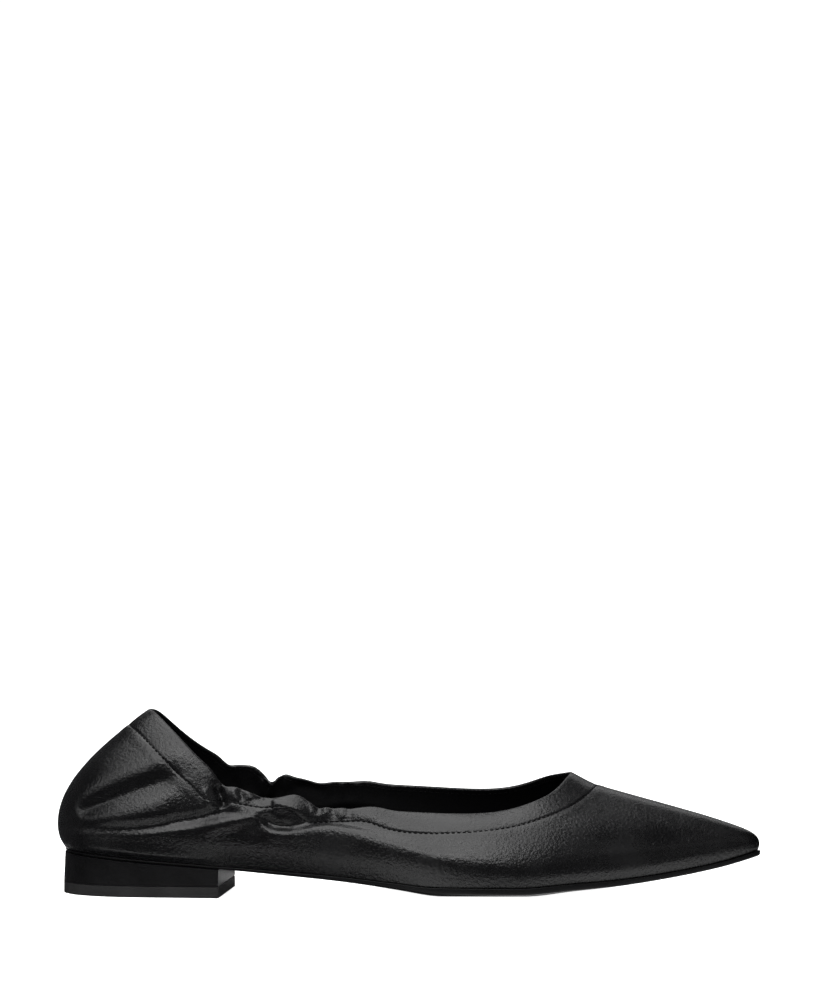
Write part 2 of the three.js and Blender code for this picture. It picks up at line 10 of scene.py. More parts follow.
import bmesh
import bpy
import numpy as np
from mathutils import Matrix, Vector


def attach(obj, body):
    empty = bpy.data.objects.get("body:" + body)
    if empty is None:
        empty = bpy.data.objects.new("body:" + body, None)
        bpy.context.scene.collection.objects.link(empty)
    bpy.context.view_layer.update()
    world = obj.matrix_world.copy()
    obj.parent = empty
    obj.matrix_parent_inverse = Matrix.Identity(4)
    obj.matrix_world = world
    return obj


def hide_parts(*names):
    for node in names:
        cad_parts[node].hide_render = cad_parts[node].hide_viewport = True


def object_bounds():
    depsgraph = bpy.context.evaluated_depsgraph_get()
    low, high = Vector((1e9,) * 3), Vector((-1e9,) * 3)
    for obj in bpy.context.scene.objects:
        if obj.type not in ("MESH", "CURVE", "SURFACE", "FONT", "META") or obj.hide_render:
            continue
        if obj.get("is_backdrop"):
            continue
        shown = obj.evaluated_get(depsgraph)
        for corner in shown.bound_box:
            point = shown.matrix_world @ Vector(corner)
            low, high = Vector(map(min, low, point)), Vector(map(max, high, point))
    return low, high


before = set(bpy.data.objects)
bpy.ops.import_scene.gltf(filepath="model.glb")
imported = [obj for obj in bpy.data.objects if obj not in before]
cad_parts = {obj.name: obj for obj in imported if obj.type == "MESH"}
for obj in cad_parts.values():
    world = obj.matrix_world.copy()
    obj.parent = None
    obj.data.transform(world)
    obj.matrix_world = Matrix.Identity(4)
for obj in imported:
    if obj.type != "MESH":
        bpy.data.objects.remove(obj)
solid_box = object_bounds()

# %% [markdown]
# ## Sizes
# A shoemaker starts from the last: its length, the width at the ball, the heights of toe, heel and
# collar. We keep those as named values, and give every table below as shares of them, so that the
# dressed shoe follows the same form as the solids.

# %% Sizes of the last, in millimetres
SOLE_LENGTH, BALL_WIDTH = 272.0, 80.0
HEEL_HEIGHT, TOE_SPRING = 16.3, 16.0
EDGE_LIFT, ARCH_RISE = 3.6, 2.2
TREAD_SHARE, TREAD_CURVE = 0.15, 1.15
OUTSOLE_EDGE, OUTSOLE_SEAT, SEAT_TUCK = 2.5, 1.0, 1.1
HEEL_LENGTH, HEEL_TUCK, HEEL_FLARE = 64.5, 0.9, 0.5
TOP_PIECE_THICKNESS = 4.2
UPPER_WALL, FEATHER_TUCK = 1.5, 1.0
VAMP_LENGTH, BACK_LEAN = 73.6, 34.4
THROAT_HEIGHT, SIDE_HEIGHT, BACK_HEIGHT = 47.5, 34.0, 71.6
MEDIAL_RISE, COLLAR_WIDTH = 6.0, 60.0
THROAT_SHIFT, THROAT_FLARE = 2.0, 2.3
BELLY, SHOULDER = 3.0, 17.0
BAND_WIDTH = 10.5
GATHER_LIFT, FOLD_DEPTH = 3.0, 2.0
INSOLE_THICKNESS, INSOLE_ROLL, INSOLE_ROOM = 2.5, 0.8, 0.5
CLEARANCE = 0.3
MM = 0.001  # metres in a millimetre
MIDDLE = np.array([135.06, -2.61, 0.0])  # the middle of the shoe's box, from the heel's back
print("last", SOLE_LENGTH, "by", BALL_WIDTH, "mm, middle at", MIDDLE[:2])

# %% [markdown]
# ## Curves through tables
# The outline of a last is one closed curve. A periodic cubic spline runs through evenly spaced
# values with no kink anywhere, and solving one small linear system gives its slopes. Along the
# sole a gentler curve is wanted that never overshoots its stations, so that the flat tread stays
# flat: the harmonic mean of the neighbouring grades gives that.


# %% A closed curve and an open one
def closed_curve(values):
    """Cubic pieces between evenly spaced values, whose slopes m solve m[i-1] + 4 m[i] + m[i+1] =
    3 (v[i+1] - v[i-1]), read at shares of the loop from 0 to 1."""
    v = np.asarray(values, float)
    n = len(v)
    system = 4 * np.eye(n) + np.roll(np.eye(n), 1, 0) + np.roll(np.eye(n), -1, 0)
    m = np.linalg.solve(system, 3 * (np.roll(v, -1) - np.roll(v, 1)))

    def read(share):
        place = np.mod(share, 1) * n
        i = np.floor(place).astype(int) % n
        j, t = (i + 1) % n, place - np.floor(place)
        ends = v[i] * (1 + 2 * t) * (1 - t) ** 2 + v[j] * t * t * (3 - 2 * t)
        return ends + m[i] * t * (1 - t) ** 2 - m[j] * t * t * (1 - t)

    return read


def open_curve(stations, values):
    """Cubic pieces through the stations; a slope is the harmonic mean of the grades beside it, or
    0 where they turn back."""
    x, v = np.asarray(stations, float), np.asarray(values, float)
    grade = np.diff(v) / np.diff(x)
    before, after = grade[:-1], grade[1:]
    total = np.where(before + after == 0, 1, before + after)
    inner = np.where(before * after > 0, 2 * before * after / total, 0)
    m = np.concatenate([grade[:1], inner, grade[-1:]])

    def read(place):
        p = np.clip(place, x[0], x[-1])
        i = np.clip(np.searchsorted(x, p, side="right") - 1, 0, len(x) - 2)
        run = x[i + 1] - x[i]
        t = (p - x[i]) / run
        ends = v[i] * (1 + 2 * t) * (1 - t) ** 2 + v[i + 1] * t * t * (3 - 2 * t)
        return ends + run * (m[i] * t * (1 - t) ** 2 - m[i + 1] * t * t * (1 - t))

    return read


sample = round(float(closed_curve([0, 1, 0, -1])(0.125)), 3)
print("a closed curve through 0, 1, 0, -1 at one eighth:", sample)

# %% [markdown]
# ## The walls' tables
# Each row is a tenth of the way from the toe tip to the middle of the back. The first column is the
# outline's half-width, the next four set the collar, and the rest shape the wall between them. The
# two sides differ as feet do: the medial side is hollow at the waist and its collar is higher.

# %% Tables of the walls
WALL_COLUMNS = ("foot", "turn", "wide", "rise", "over", "belly", "shoulder", "low", "top", "flare")
LATERAL_WALL = [
    [0.618, 0, 1.5, 1, 0, 0.9, 0.4, 1.3, 0.78, 1],
    [0.63, 10.6, 1.48, 0.89, 0, 0.7, 0.5, 1.2, 0.75, 0.8],
    [0.775, 21.9, 1.52, 0.58, 0, 0.6, 0.72, 1, 0.7, 0.4],
    [0.99, 33.3, 1.5, 0.32, 0, 0.8, 1, 0.85, 0.65, 0.1],
    [1.107, 51, 1.27, 0, 0, 1, 1.05, 0.75, 0.6, 0],
    [0.957, 74.8, 1.01, 0.005, 0, 1.1, 0.95, 0.7, 0.55, 0],
    [0.81, 99.5, 0.93, 0.05, 0, 1.2, 0.9, 0.7, 0.5, 0],
    [0.82, 123, 1.02, 0.24, 0, 1.6, 1.05, 0.8, 0.5, 0],
    [1.075, 144.4, 1.15, 0.705, 0, 2.4, 1.2, 0.85, 0.5, 0],
    [1.335, 163.7, 1.05, 0.97, 0, 3.6, 1.25, 0.87, 0.5, 0],
    [1.425, 180, 1, 1, 0, 4.25, 1.26, 0.87, 0.48, 0],
]
MEDIAL_WALL = [
    LATERAL_WALL[0],
    [0.63, 10.6, 1.48, 0.93, 0.15, 0.7, 0.5, 1.2, 0.75, 0.8],
    [0.745, 21.9, 1.52, 0.66, 0.6, 0.6, 0.75, 1, 0.7, 0.4],
    [0.957, 33.3, 1.5, 0.32, 0.95, 0.6, 1.05, 0.85, 0.65, 0.1],
    [0.967, 51, 1.23, -0.06, 1, 1, 1.15, 0.75, 0.6, 0],
    [0.612, 74.8, 0.88, 0.005, 1, 2, 1.1, 0.7, 0.55, 0],
    [0.552, 99.5, 0.82, 0.06, 0.95, 2, 1.05, 0.7, 0.5, 0],
    [0.772, 123, 0.98, 0.24, 0.6, 1.6, 1.05, 0.8, 0.5, 0],
    [1.055, 144.4, 1.15, 0.61, 0.1, 2.4, 1.2, 0.85, 0.5, 0],
    [1.32, 163.7, 1.05, 0.94, 0, 3.6, 1.25, 0.87, 0.5, 0],
    LATERAL_WALL[-1],
]
TIP_TO_BACK = len(LATERAL_WALL)
THROAT_ROWS = 4  # rows after the toe tip whose rim belongs to the throat
WALL_LOOP = np.array(LATERAL_WALL + MEDIAL_WALL[-2:0:-1], float)
WALL_LOOP[TIP_TO_BACK:, 1] = 360 - WALL_LOOP[TIP_TO_BACK:, 1]
LOOP_ROWS = np.arange(len(WALL_LOOP))


def loop_of(name, size=1.0):
    """A column of the tables, in its size, as a closed curve."""
    return closed_curve(WALL_LOOP[:, WALL_COLUMNS.index(name)] * size)


foot_half = loop_of("foot", BALL_WIDTH / 2)
collar_half = loop_of("wide", COLLAR_WIDTH / 2)
near_throat = np.minimum(LOOP_ROWS, len(WALL_LOOP) - LOOP_ROWS) <= THROAT_ROWS
rim_height = np.where(near_throat, THROAT_HEIGHT - THROAT_FLARE, BACK_HEIGHT)
collar_rise = loop_of("rise", rim_height - SIDE_HEIGHT)
medial_rise = loop_of("over", MEDIAL_RISE)
belly, shoulder = loop_of("belly", BELLY), loop_of("shoulder", SHOULDER)
low_run, top_run, flare = loop_of("low"), loop_of("top"), loop_of("flare", THROAT_FLARE)
turn_extra = closed_curve(WALL_LOOP[:, 1] - 360 / len(WALL_LOOP) * LOOP_ROWS)
print("outline half-widths, mm:", np.round(foot_half(np.linspace(0, 0.5, 6)), 1))

# %% [markdown]
# ## The sole's profile
# Seen from the side a sole sweeps up to the heel and springs at the toe, and its middle touches the
# floor at the ball. The table gives the height of its under face, how far the edge lifts over the
# middle, and its thickness, at stations along the length.

# %% Table of the sole
SOLE_COLUMNS = ("along", "rise", "lift", "thick", "arch", "tuck")
SOLE_PROFILE = np.array([
    [0, 1, 0, 0, 0, 1],
    [0.14, 0.8, 0, 0, 0, 1],
    [0.229, 0.693, 0, 0, 0.2, 1],
    [0.258, 0.645, 0.08, 0.08, 0.4, 0],
    [0.316, 0.552, 0.17, 0.2, 0.9, 0],
    [0.404, 0.38, 0.44, 0.47, 1, 0],
    [0.489, 0.147, 0.81, 0.73, 0.4, 0],
    [0.551, 0, 1, 0.93, 0, 0],
    [0.669, 0, 1, 1, 0, 0],
    [0.735, 0.125, 0.83, 1, 0, 0],
    [0.805, 0.27, 0.58, 0.85, 0, 0],
    [0.882, 0.49, 0.36, 0.7, 0, 0],
    [0.945, 0.725, 0.17, 0.6, 0, 0],
    [1, 1, 0, 0.6, 0, 0],
], float)


def sole_of(name, size=1.0, base=0.0):
    """A column of the table, in its size, as a curve along the sole."""
    values = SOLE_PROFILE[:, SOLE_COLUMNS.index(name)] * size + base
    return open_curve(SOLE_PROFILE[:, 0] * SOLE_LENGTH, values)


behind_ball = np.arange(len(SOLE_PROFILE)) <= np.argmax(SOLE_PROFILE[:, 1] == 0)
sole_rise = sole_of("rise", np.where(behind_ball, HEEL_HEIGHT, TOE_SPRING))
sole_lift, sole_arch = sole_of("lift", EDGE_LIFT), sole_of("arch", ARCH_RISE)
sole_thick = sole_of("thick", OUTSOLE_EDGE - OUTSOLE_SEAT, OUTSOLE_SEAT)
sole_tuck = sole_of("tuck", SEAT_TUCK)
print("under face at the heel and at the toe, mm:", sole_rise(0), sole_rise(SOLE_LENGTH))

# %% [markdown]
# ## Outline and faces of the sole
# A sole is cut round a paper pattern. Here the outline is a stretched circle whose half-width comes
# from the walls' table, and both faces of the sole are heights over it.

# %% Outline, under face and upper face
OUTLINE_STEP = 1e-4


def outline(share, tuck):
    """x = half the length times (1 + cos of the turn), y = minus the sine of the turn times the
    half-width, drawn in by tuck along the normal. Gives the points and the outward directions."""
    def at(s):
        angle = 2 * np.pi * s
        return np.stack([SOLE_LENGTH / 2 * (1 + np.cos(angle)), -np.sin(angle) * foot_half(s)], -1)

    along = at(share + OUTLINE_STEP) - at(share - OUTLINE_STEP)
    along /= np.linalg.norm(along, axis=-1, keepdims=True)
    out = np.stack([-along[..., 1], along[..., 0]], -1)
    return at(share) - out * np.asarray(tuck)[..., None], out


def sole_under(x, across):
    """Rise of the middle, plus the edge's lift by a power of the way out past the flat tread, plus
    the arch on the medial side."""
    edge = np.maximum(0, (np.abs(across) - TREAD_SHARE) / (1 - TREAD_SHARE))
    return sole_rise(x) + sole_lift(x) * edge ** TREAD_CURVE + sole_arch(x) * np.maximum(0, across)


def sole_upper(x, across):
    """The under face's two edges joined straight across, plus the thickness."""
    return sole_thick(x) + (sole_under(x, -1) * (1 - across) + sole_under(x, 1) * (1 + across)) / 2


stations = np.array([0, 105, 165, SOLE_LENGTH])
print("under face at heel, waist, ball and toe, mm:", np.round(sole_under(stations, 0), 1))

# %% [markdown]
# ## Folds and gathers
# The elastic in the hem band pulls the collar short, so the soft leather puckers under it. A real
# shoe's folds are not a pattern: each one was made by the foot and by the way the shoe was set down.
# So we place them one by one, each as a soft ridge or trough along a line on the side of the shoe,
# and let a bell curve fade it out. A cloth simulation would give folds of its own choosing instead.

# %% Tables of the gathers and the folds
GATHERS = np.array([  # side, along, wide, lift
    [-1, 0.244, 0.013, -0.85], [-1, 0.347, 0.023, 1.15], [-1, 0.379, 0.012, -0.3], [-1, 0.457, 0.024, 0.45],
    [1, 0.228, 0.011, -0.6], [1, 0.262, 0.013, 0.35], [1, 0.29, 0.012, -0.95], [1, 0.312, 0.01, 0.25],
    [1, 0.36, 0.018, -0.4], [1, 0.43, 0.022, 0.3],
])
# Each fold is a ridge or a trough: three points of its line, its width at both ends and its depth.
FOLDS = np.array([  # side, x1, z1, x2, z2, x3, z3, wide1, wide2, depth
    [-1, 0.031, 0.447, 0.091, 0.545, 0.186, 0.664, 0.28, 0.46, -1.2],
    [-1, 0.031, 0.376, 0.094, 0.401, 0.168, 0.49, 0.3, 0.41, 0.38],
    [-1, 0.017, 0.262, 0.097, 0.24, 0.228, 0.208, 0.33, 0.3, 0.7],
    [-1, 0.762, 0.251, 0.87, 0.292, 0.974, 0.327, 0.18, 0.17, 0.2],
    [-1, 0.163, 0.42, 0.204, 0.441, 0.248, 0.485, 0.18, 0.17, -0.4],
    [-1, 0.217, 0.376, 0.271, 0.43, 0.317, 0.501, 0.3, 0.28, 0.6],
    [-1, 0.234, 0.61, 0.241, 0.545, 0.247, 0.49, 0.16, 0.17, -1.5],
    [-1, 0.217, 0.588, 0.221, 0.539, 0.228, 0.501, 0.13, 0.13, 0.45],
    [-1, 0.258, 0.593, 0.261, 0.55, 0.266, 0.517, 0.12, 0.12, 0.23],
    [-1, 0.268, 0.588, 0.27, 0.555, 0.273, 0.523, 0.1, 0.1, -0.25],
    [-1, 0.278, 0.593, 0.281, 0.561, 0.284, 0.528, 0.13, 0.13, 0.2],
    [-1, 0.291, 0.588, 0.293, 0.555, 0.293, 0.523, 0.1, 0.1, -0.17],
    [-1, 0.301, 0.588, 0.3, 0.555, 0.297, 0.523, 0.1, 0.11, -0.45],
    [-1, 0.314, 0.501, 0.334, 0.496, 0.366, 0.458, 0.22, 0.22, 0.8],
    [-1, 0.306, 0.458, 0.317, 0.403, 0.346, 0.392, 0.18, 0.18, -0.65],
    [-1, 0.371, 0.55, 0.371, 0.501, 0.373, 0.458, 0.13, 0.13, 0.15],
    [-1, 0.38, 0.55, 0.38, 0.501, 0.381, 0.452, 0.1, 0.1, -0.17],
    [-1, 0.39, 0.545, 0.39, 0.496, 0.391, 0.447, 0.12, 0.12, 0.2],
    [-1, 0.401, 0.539, 0.401, 0.49, 0.403, 0.441, 0.11, 0.11, -0.17],
    [-1, 0.413, 0.534, 0.413, 0.485, 0.414, 0.436, 0.13, 0.13, 0.15],
    [-1, 0.425, 0.528, 0.425, 0.479, 0.427, 0.43, 0.13, 0.13, -0.12],
    [-1, 0.366, 0.42, 0.403, 0.409, 0.448, 0.392, 0.15, 0.15, -0.35],
    [1, 0.026, 0.414, 0.086, 0.534, 0.168, 0.637, 0.26, 0.41, -0.95],
    [1, 0.037, 0.376, 0.094, 0.409, 0.163, 0.501, 0.22, 0.37, 0.4],
    [1, 0.017, 0.262, 0.097, 0.24, 0.228, 0.208, 0.33, 0.3, 0.7],
    [1, 0.762, 0.262, 0.87, 0.295, 0.974, 0.327, 0.18, 0.17, 0.2],
    [1, 0.154, 0.425, 0.214, 0.468, 0.263, 0.512, 0.16, 0.14, -0.7],
    [1, 0.234, 0.599, 0.24, 0.545, 0.248, 0.501, 0.13, 0.13, 0.35],
    [1, 0.264, 0.599, 0.266, 0.55, 0.267, 0.506, 0.1, 0.1, 0.25],
    [1, 0.276, 0.593, 0.277, 0.545, 0.277, 0.501, 0.08, 0.08, -0.3],
    [1, 0.288, 0.604, 0.29, 0.545, 0.286, 0.485, 0.12, 0.14, -1.2],
    [1, 0.3, 0.61, 0.301, 0.555, 0.303, 0.512, 0.1, 0.1, 0.3],
    [1, 0.31, 0.599, 0.311, 0.55, 0.311, 0.506, 0.08, 0.08, -0.3],
    [1, 0.223, 0.409, 0.28, 0.463, 0.326, 0.534, 0.3, 0.28, 0.5],
    [1, 0.323, 0.545, 0.343, 0.55, 0.371, 0.512, 0.22, 0.22, 0.65],
    [1, 0.311, 0.49, 0.324, 0.441, 0.354, 0.436, 0.18, 0.18, -0.6],
    [1, 0.383, 0.588, 0.384, 0.534, 0.385, 0.49, 0.12, 0.12, 0.2],
    [1, 0.393, 0.583, 0.394, 0.528, 0.395, 0.485, 0.1, 0.1, -0.2],
    [1, 0.404, 0.583, 0.405, 0.528, 0.407, 0.485, 0.12, 0.12, 0.17],
    [1, 0.417, 0.577, 0.418, 0.528, 0.42, 0.485, 0.12, 0.12, -0.15],
])
print(len(GATHERS), "gathers and", len(FOLDS), "folds")

# %% [markdown]
# ## The shelf
# The leather keeps a fullness just over the sole and sinks in above it. One long line on each side
# is enough for that: the wall stands out on the line, fades under it and dips above it.

# %% Table of the shelf: side, along, high, wide, dip, under, full
SHELF = np.array([
    [-1, 0, 0.327, 0.33, 0, 0.22, 0],
    [-1, 0.034, 0.327, 0.33, 0.5, 0.22, 0],
    [-1, 0.097, 0.327, 0.33, 0.55, 0.22, 0.05],
    [-1, 0.197, 0.371, 0.28, 0.55, 0.22, 0.07],
    [-1, 0.263, 0.425, 0.22, 0.35, 0.41, 0.2],
    [-1, 0.288, 0.43, 0.18, 0.1, 0.44, 0.2],
    [-1, 0.317, 0.36, 0.2, 0.25, 0.26, 0.35],
    [-1, 0.348, 0.357, 0.24, 0.45, 0.3, 0.5],
    [-1, 0.397, 0.384, 0.3, 0.6, 0.44, 0.75],
    [-1, 0.485, 0.314, 0.37, 0.45, 0.44, 0.55],
    [-1, 0.571, 0.235, 0.44, 0.1, 0.37, 0.2],
    [-1, 0.711, 0.186, 0.48, 0, 0.37, 0],
    [1, 0, 0.327, 0.33, 0, 0.22, 0],
    [1, 0.034, 0.327, 0.33, 0.45, 0.22, 0],
    [1, 0.097, 0.338, 0.33, 0.5, 0.22, 0.05],
    [1, 0.204, 0.398, 0.28, 0.5, 0.22, 0.07],
    [1, 0.268, 0.452, 0.22, 0.35, 0.41, 0.2],
    [1, 0.294, 0.458, 0.18, 0.15, 0.44, 0.2],
    [1, 0.326, 0.398, 0.2, 0.25, 0.26, 0.3],
    [1, 0.361, 0.398, 0.24, 0.4, 0.3, 0.4],
    [1, 0.404, 0.414, 0.3, 0.55, 0.44, 0.55],
    [1, 0.483, 0.349, 0.37, 0.35, 0.44, 0.4],
    [1, 0.583, 0.251, 0.48, 0.05, 0.37, 0.15],
    [1, 0.711, 0.197, 0.48, 0, 0.37, 0],
])
print(len(SHELF) // 2, "stations on each side")

# %% [markdown]
# ## From the tables to heights
# Bell curves suit folds: they are smooth, they fade to nothing, and their sum has no seams.

# %% Gathers, folds and the shelf as heights
PATH_POINTS = 25  # points along each fold's line
BELL_REACH = 3  # widths past which a bell is as good as nothing
END_FADE = 0.85  # share of a fold's depth that is lost at its ends


def gather_lift(x, side):
    """The sum of bell curves along the rim, each at its place on its side."""
    lift = np.zeros(np.broadcast(x, side).shape)
    for which, along, wide, height in GATHERS:
        off = (x - along * SOLE_LENGTH) / (wide * SOLE_LENGTH)
        lift += np.where(side == which, height * GATHER_LIFT * np.exp(-off ** 2), 0)
    return lift


def fold_depth(points, side):
    """The sum, over the folds, of depth times a bell curve of the distance to the fold's line, seen
    from the side. The line is a parabola through three points, its width grows evenly along it, and
    its depth fades towards both ends as 1 - END_FADE (2 t - 1)^4."""
    depth = np.zeros(points.shape[:-1])
    t = np.linspace(0, 1, PATH_POINTS)
    for which, x1, z1, x2, z2, x3, z3, wide1, wide2, height in FOLDS:
        path = np.array([[x1, z1], [x2, z2], [x3, z3]]) * [SOLE_LENGTH, BACK_HEIGHT]
        line = path[0] + t[:, None] * (4 * path[1] - 3 * path[0] - path[2])
        line = line + t[:, None] ** 2 * 2 * (path[0] + path[2] - 2 * path[1])
        margin = max(wide1, wide2) * BAND_WIDTH * BELL_REACH
        near = (side == which) & (points[..., 0] > line[:, 0].min() - margin)
        near &= points[..., 0] < line[:, 0].max() + margin
        near &= points[..., 2] > line[:, 1].min() - margin
        spot = points[near][:, None, [0, 2]]
        first, run = line[:-1], np.diff(line, axis=0)
        along = np.clip(((spot - first) * run).sum(-1) / (run ** 2).sum(-1), 0, 1)
        off = np.linalg.norm(spot - first - along[..., None] * run, axis=-1)
        nearest = off.argmin(1)
        pick = np.arange(len(spot))
        place = (nearest + along[pick, nearest]) / (PATH_POINTS - 1)
        wide = (wide1 + (wide2 - wide1) * place) * BAND_WIDTH
        fade = 1 - END_FADE * np.abs(2 * place - 1) ** 4
        depth[near] += height * FOLD_DEPTH * fade * np.exp(-(off[pick, nearest] / wide) ** 2)
    return depth


def shelf_depth(points, side):
    """On the shelf's line the wall stands out by the fullness, and a bell curve fades that out, of one
    width above and another under it. Above the line a dip comes off: the depth times u^2 exp(1 - u^2),
    with u the height over the line in widths. All are open curves along the shoe."""
    depth = np.zeros(points.shape[:-1])
    x, z = points[..., 0], points[..., 2]
    for which in (-1, 1):
        rows = SHELF[SHELF[:, 0] == which]
        stations = rows[:, 1] * SOLE_LENGTH
        line, wide, dip, under, full = (open_curve(stations, rows[:, k])(x) for k in range(2, 7))
        off = z - line * BACK_HEIGHT
        bell = np.exp(-(off / (np.where(off > 0, wide, under) * BAND_WIDTH)) ** 2)
        above = (np.maximum(0, off) / (wide * BAND_WIDTH)) ** 2
        depth += np.where(side == which, (full * bell - dip * above * np.exp(1 - above)) * FOLD_DEPTH, 0)
    return depth


print("the rim's lowest dip:", round(gather_lift(np.linspace(0, SOLE_LENGTH, 999), 1).min(), 1), "mm")

# %% [markdown]
# ## The upper's skin
# A shoemaker pulls the leather from the feather edge up over the last to the collar. We do the same:
# at every share of the loop a cubic Bezier curve rises from the outline, bends at the shoulder and
# ends at the rim. All the columns are worked out at once as arrays.

# %% The wall as a surface
FOLD_START = 0.06  # from this place up the folds have their full depth
COLUMN_STEP, FLARE_POWER = 1e-3, 1.5


def wall_ends(share):
    """The four handles of each column's curve: feather edge, two at the shoulder, rim."""
    side = np.where(share > 0.5, 1, -1)
    point, out = outline(share, np.full(share.shape, FEATHER_TUCK))
    foot = np.stack([point[:, 0], point[:, 1], sole_upper(point[:, 0], side) + CLEARANCE], -1)
    turn = np.radians(turn_extra(share) + 360 * share)
    front = SOLE_LENGTH - VAMP_LENGTH
    x = (front + BACK_LEAN) / 2 + (front - BACK_LEAN) / 2 * np.cos(turn)
    y = THROAT_SHIFT * (1 + np.cos(turn)) / 2 - np.sin(turn) * collar_half(share)
    z = SIDE_HEIGHT + collar_rise(share) + medial_rise(share) + gather_lift(x, side)
    rim = np.stack([x, y, z], -1)
    bend = foot + np.stack([out[:, 0] * belly(share), out[:, 1] * belly(share), shoulder(share)], -1)
    low = foot + (bend - foot) * low_run(share)[:, None]
    top = rim + (bend - rim) * top_run(share)[:, None]
    return foot, low, top, rim


def wall_at(share, place):
    """(1-t)^3 foot + 3 (1-t)^2 t low + 3 (1-t) t^2 top + t^3 rim, with t the place, and its grade."""
    foot, low, top, rim = (end[None] for end in wall_ends(np.mod(share, 1)))
    t = place[..., None]
    points = (1 - t) ** 3 * foot + 3 * (1 - t) ** 2 * t * low + 3 * (1 - t) * t * t * top + t ** 3 * rim
    grade = (1 - t) ** 2 * (low - foot) + 2 * (1 - t) * t * (top - low) + t * t * (rim - top)
    return points, grade


def unit(vectors):
    return vectors / np.linalg.norm(vectors, axis=-1, keepdims=True)


def skin(share, place, outwards, band_foot):
    """The wall, moved along its normal by the folds and by outwards, with the throat's rim flared."""
    side = np.where(share > 0.5, 1, -1)[None]
    points, grade = wall_at(share, place)
    along = wall_at(share + COLUMN_STEP, place)[0] - wall_at(share - COLUMN_STEP, place)[0]
    normal = unit(np.cross(grade, along))
    ease = np.clip(place / FOLD_START, 0, 1)
    fold = fold_depth(points, side * np.ones(points.shape[:-1])) + shelf_depth(points, side)
    fold *= ease * ease * (3 - 2 * ease)
    points = points + normal * (outwards + fold)[..., None]
    past_seam = np.maximum(0, (place - band_foot) / (1 - band_foot))
    points[..., 2] += flare(share)[None] * past_seam ** FLARE_POWER
    return points, normal


print("rim at toe, side and back, mm:", np.round(wall_ends(np.array([0, 0.25, 0.5]))[3][:, 2], 1))

# %% [markdown]
# ## Even rings under the rim
# The hem band is even, but the walls differ in height. So the length along each column is measured
# from the rim down, like rungs on a ladder. The columns stand closest where the gathers are.

# %% Columns of the mesh and lengths along them
SHARE_ROWS = [(0, 0.27, 150), (0.27, 0.385, 170), (0.385, 0.5, 50)]
RUNGS = 401


def loop_shares(rows):
    """Shares round the whole loop from (from, to, number) rows for one side, mirrored."""
    half = np.concatenate([np.linspace(a, b, n, endpoint=False) for a, b, n in rows])
    return np.concatenate([half, [0.5], 1 - half[:0:-1]])


shares = loop_shares(SHARE_ROWS)
ladder = wall_at(shares, np.linspace(1, 0, RUNGS)[:, None] * np.ones(len(shares)))[0]
rung_runs = np.linalg.norm(np.diff(ladder, axis=0), axis=-1)
reach = np.concatenate([np.zeros((1, len(shares))), np.cumsum(rung_runs, 0)])


def place_at(distance):
    """The place on each column's curve that lies at a distance from the rim, by linear steps."""
    i = np.clip((reach < distance).sum(0), 1, len(reach) - 1)
    column = np.arange(len(shares))
    part = (distance - reach[i - 1, column]) / (reach[i, column] - reach[i - 1, column])
    return 1 - (i - 1 + part) / (len(reach) - 1)


# Over the elastic the band is bunched, and its seam rises towards the rim.
BUNCHES = np.array([  # side, along, wide, loss
    [-1, 0.31, 0.06, 0.46], [-1, 0.43, 0.06, 0.4], [1, 0.29, 0.06, 0.4], [1, 0.4, 0.06, 0.33],
])
RIM_KEEP = 2
on_side = np.where(shares > 0.5, 1, -1)
rim_along = ladder[0, :, 0] / SOLE_LENGTH
narrow = np.ones(len(shares))
for which, along, wide, loss in BUNCHES:
    narrow -= np.where(on_side == which, loss * np.exp(-((rim_along - along) / wide) ** 2), 0)
band_run = BAND_WIDTH * narrow


def bunched(distance):
    """Distance from the rim on the bunched band: the first part stays, the rest shrinks evenly."""
    inner = np.minimum(distance, RIM_KEEP)
    loose = np.clip(distance - RIM_KEEP, 0, BAND_WIDTH - RIM_KEEP)
    band = loose * (band_run - RIM_KEEP) / (BAND_WIDTH - RIM_KEEP)
    return inner + band + max(0, distance - BAND_WIDTH)


band_foot = place_at(band_run)
print(len(shares), "columns; the band is", round(band_run.min(), 1), "to", round(band_run.max(), 1), "mm")

# %% [markdown]
# ## Meshes from grids
# Every piece is a grid of points joined by quads. A ring closes on itself in both directions, as
# the upper's wall does; a slab closes only round its section, and ends in points or flat faces.
# Doubled points are merged, so that no seam or pole stays open.

# %% Grid to mesh
MERGE_WITHIN, NO_LENGTH = 2e-6, 1e-7  # metres


def new_piece(name, points, quads):
    """Points in millimetres and quads become an object at the shoe's place."""
    mesh = bpy.data.meshes.new(name)
    mesh.from_pydata(((points.reshape(-1, 3) - MIDDLE) * MM).tolist(), [], quads.tolist())
    piece = bpy.data.objects.new(name, mesh)
    bpy.context.scene.collection.objects.link(piece)
    return piece


def grid_piece(name, grid, ring=True, uv=None):
    """Points (along, round, xyz) joined by quads: a ring, or a slab with flat ends."""
    rows, size = grid.shape[:2]
    index = np.arange(rows * size).reshape(rows, size)
    here, there = (index, np.roll(index, -1, 0)) if ring else (index[:-1], index[1:])
    quads = np.stack([here, there, np.roll(there, -1, 1), np.roll(here, -1, 1)], -1).reshape(-1, 4)
    if not ring:
        k = np.arange(size // 2)
        mate, after = (size - k) % size, size - k - 1
        quads = np.concatenate([quads, np.stack([k, k + 1, after, mate], -1),
                                (rows - 1) * size + np.stack([k, mate, after, k + 1], -1)])
    piece = new_piece(name, grid, quads)
    if uv is not None:
        layer = piece.data.uv_layers.new(name="run")
        corners = np.zeros(len(piece.data.loops), int)
        piece.data.loops.foreach_get("vertex_index", corners)
        layer.data.foreach_set("uv", (uv.reshape(-1, 2)[corners] * MM).ravel())
    return piece


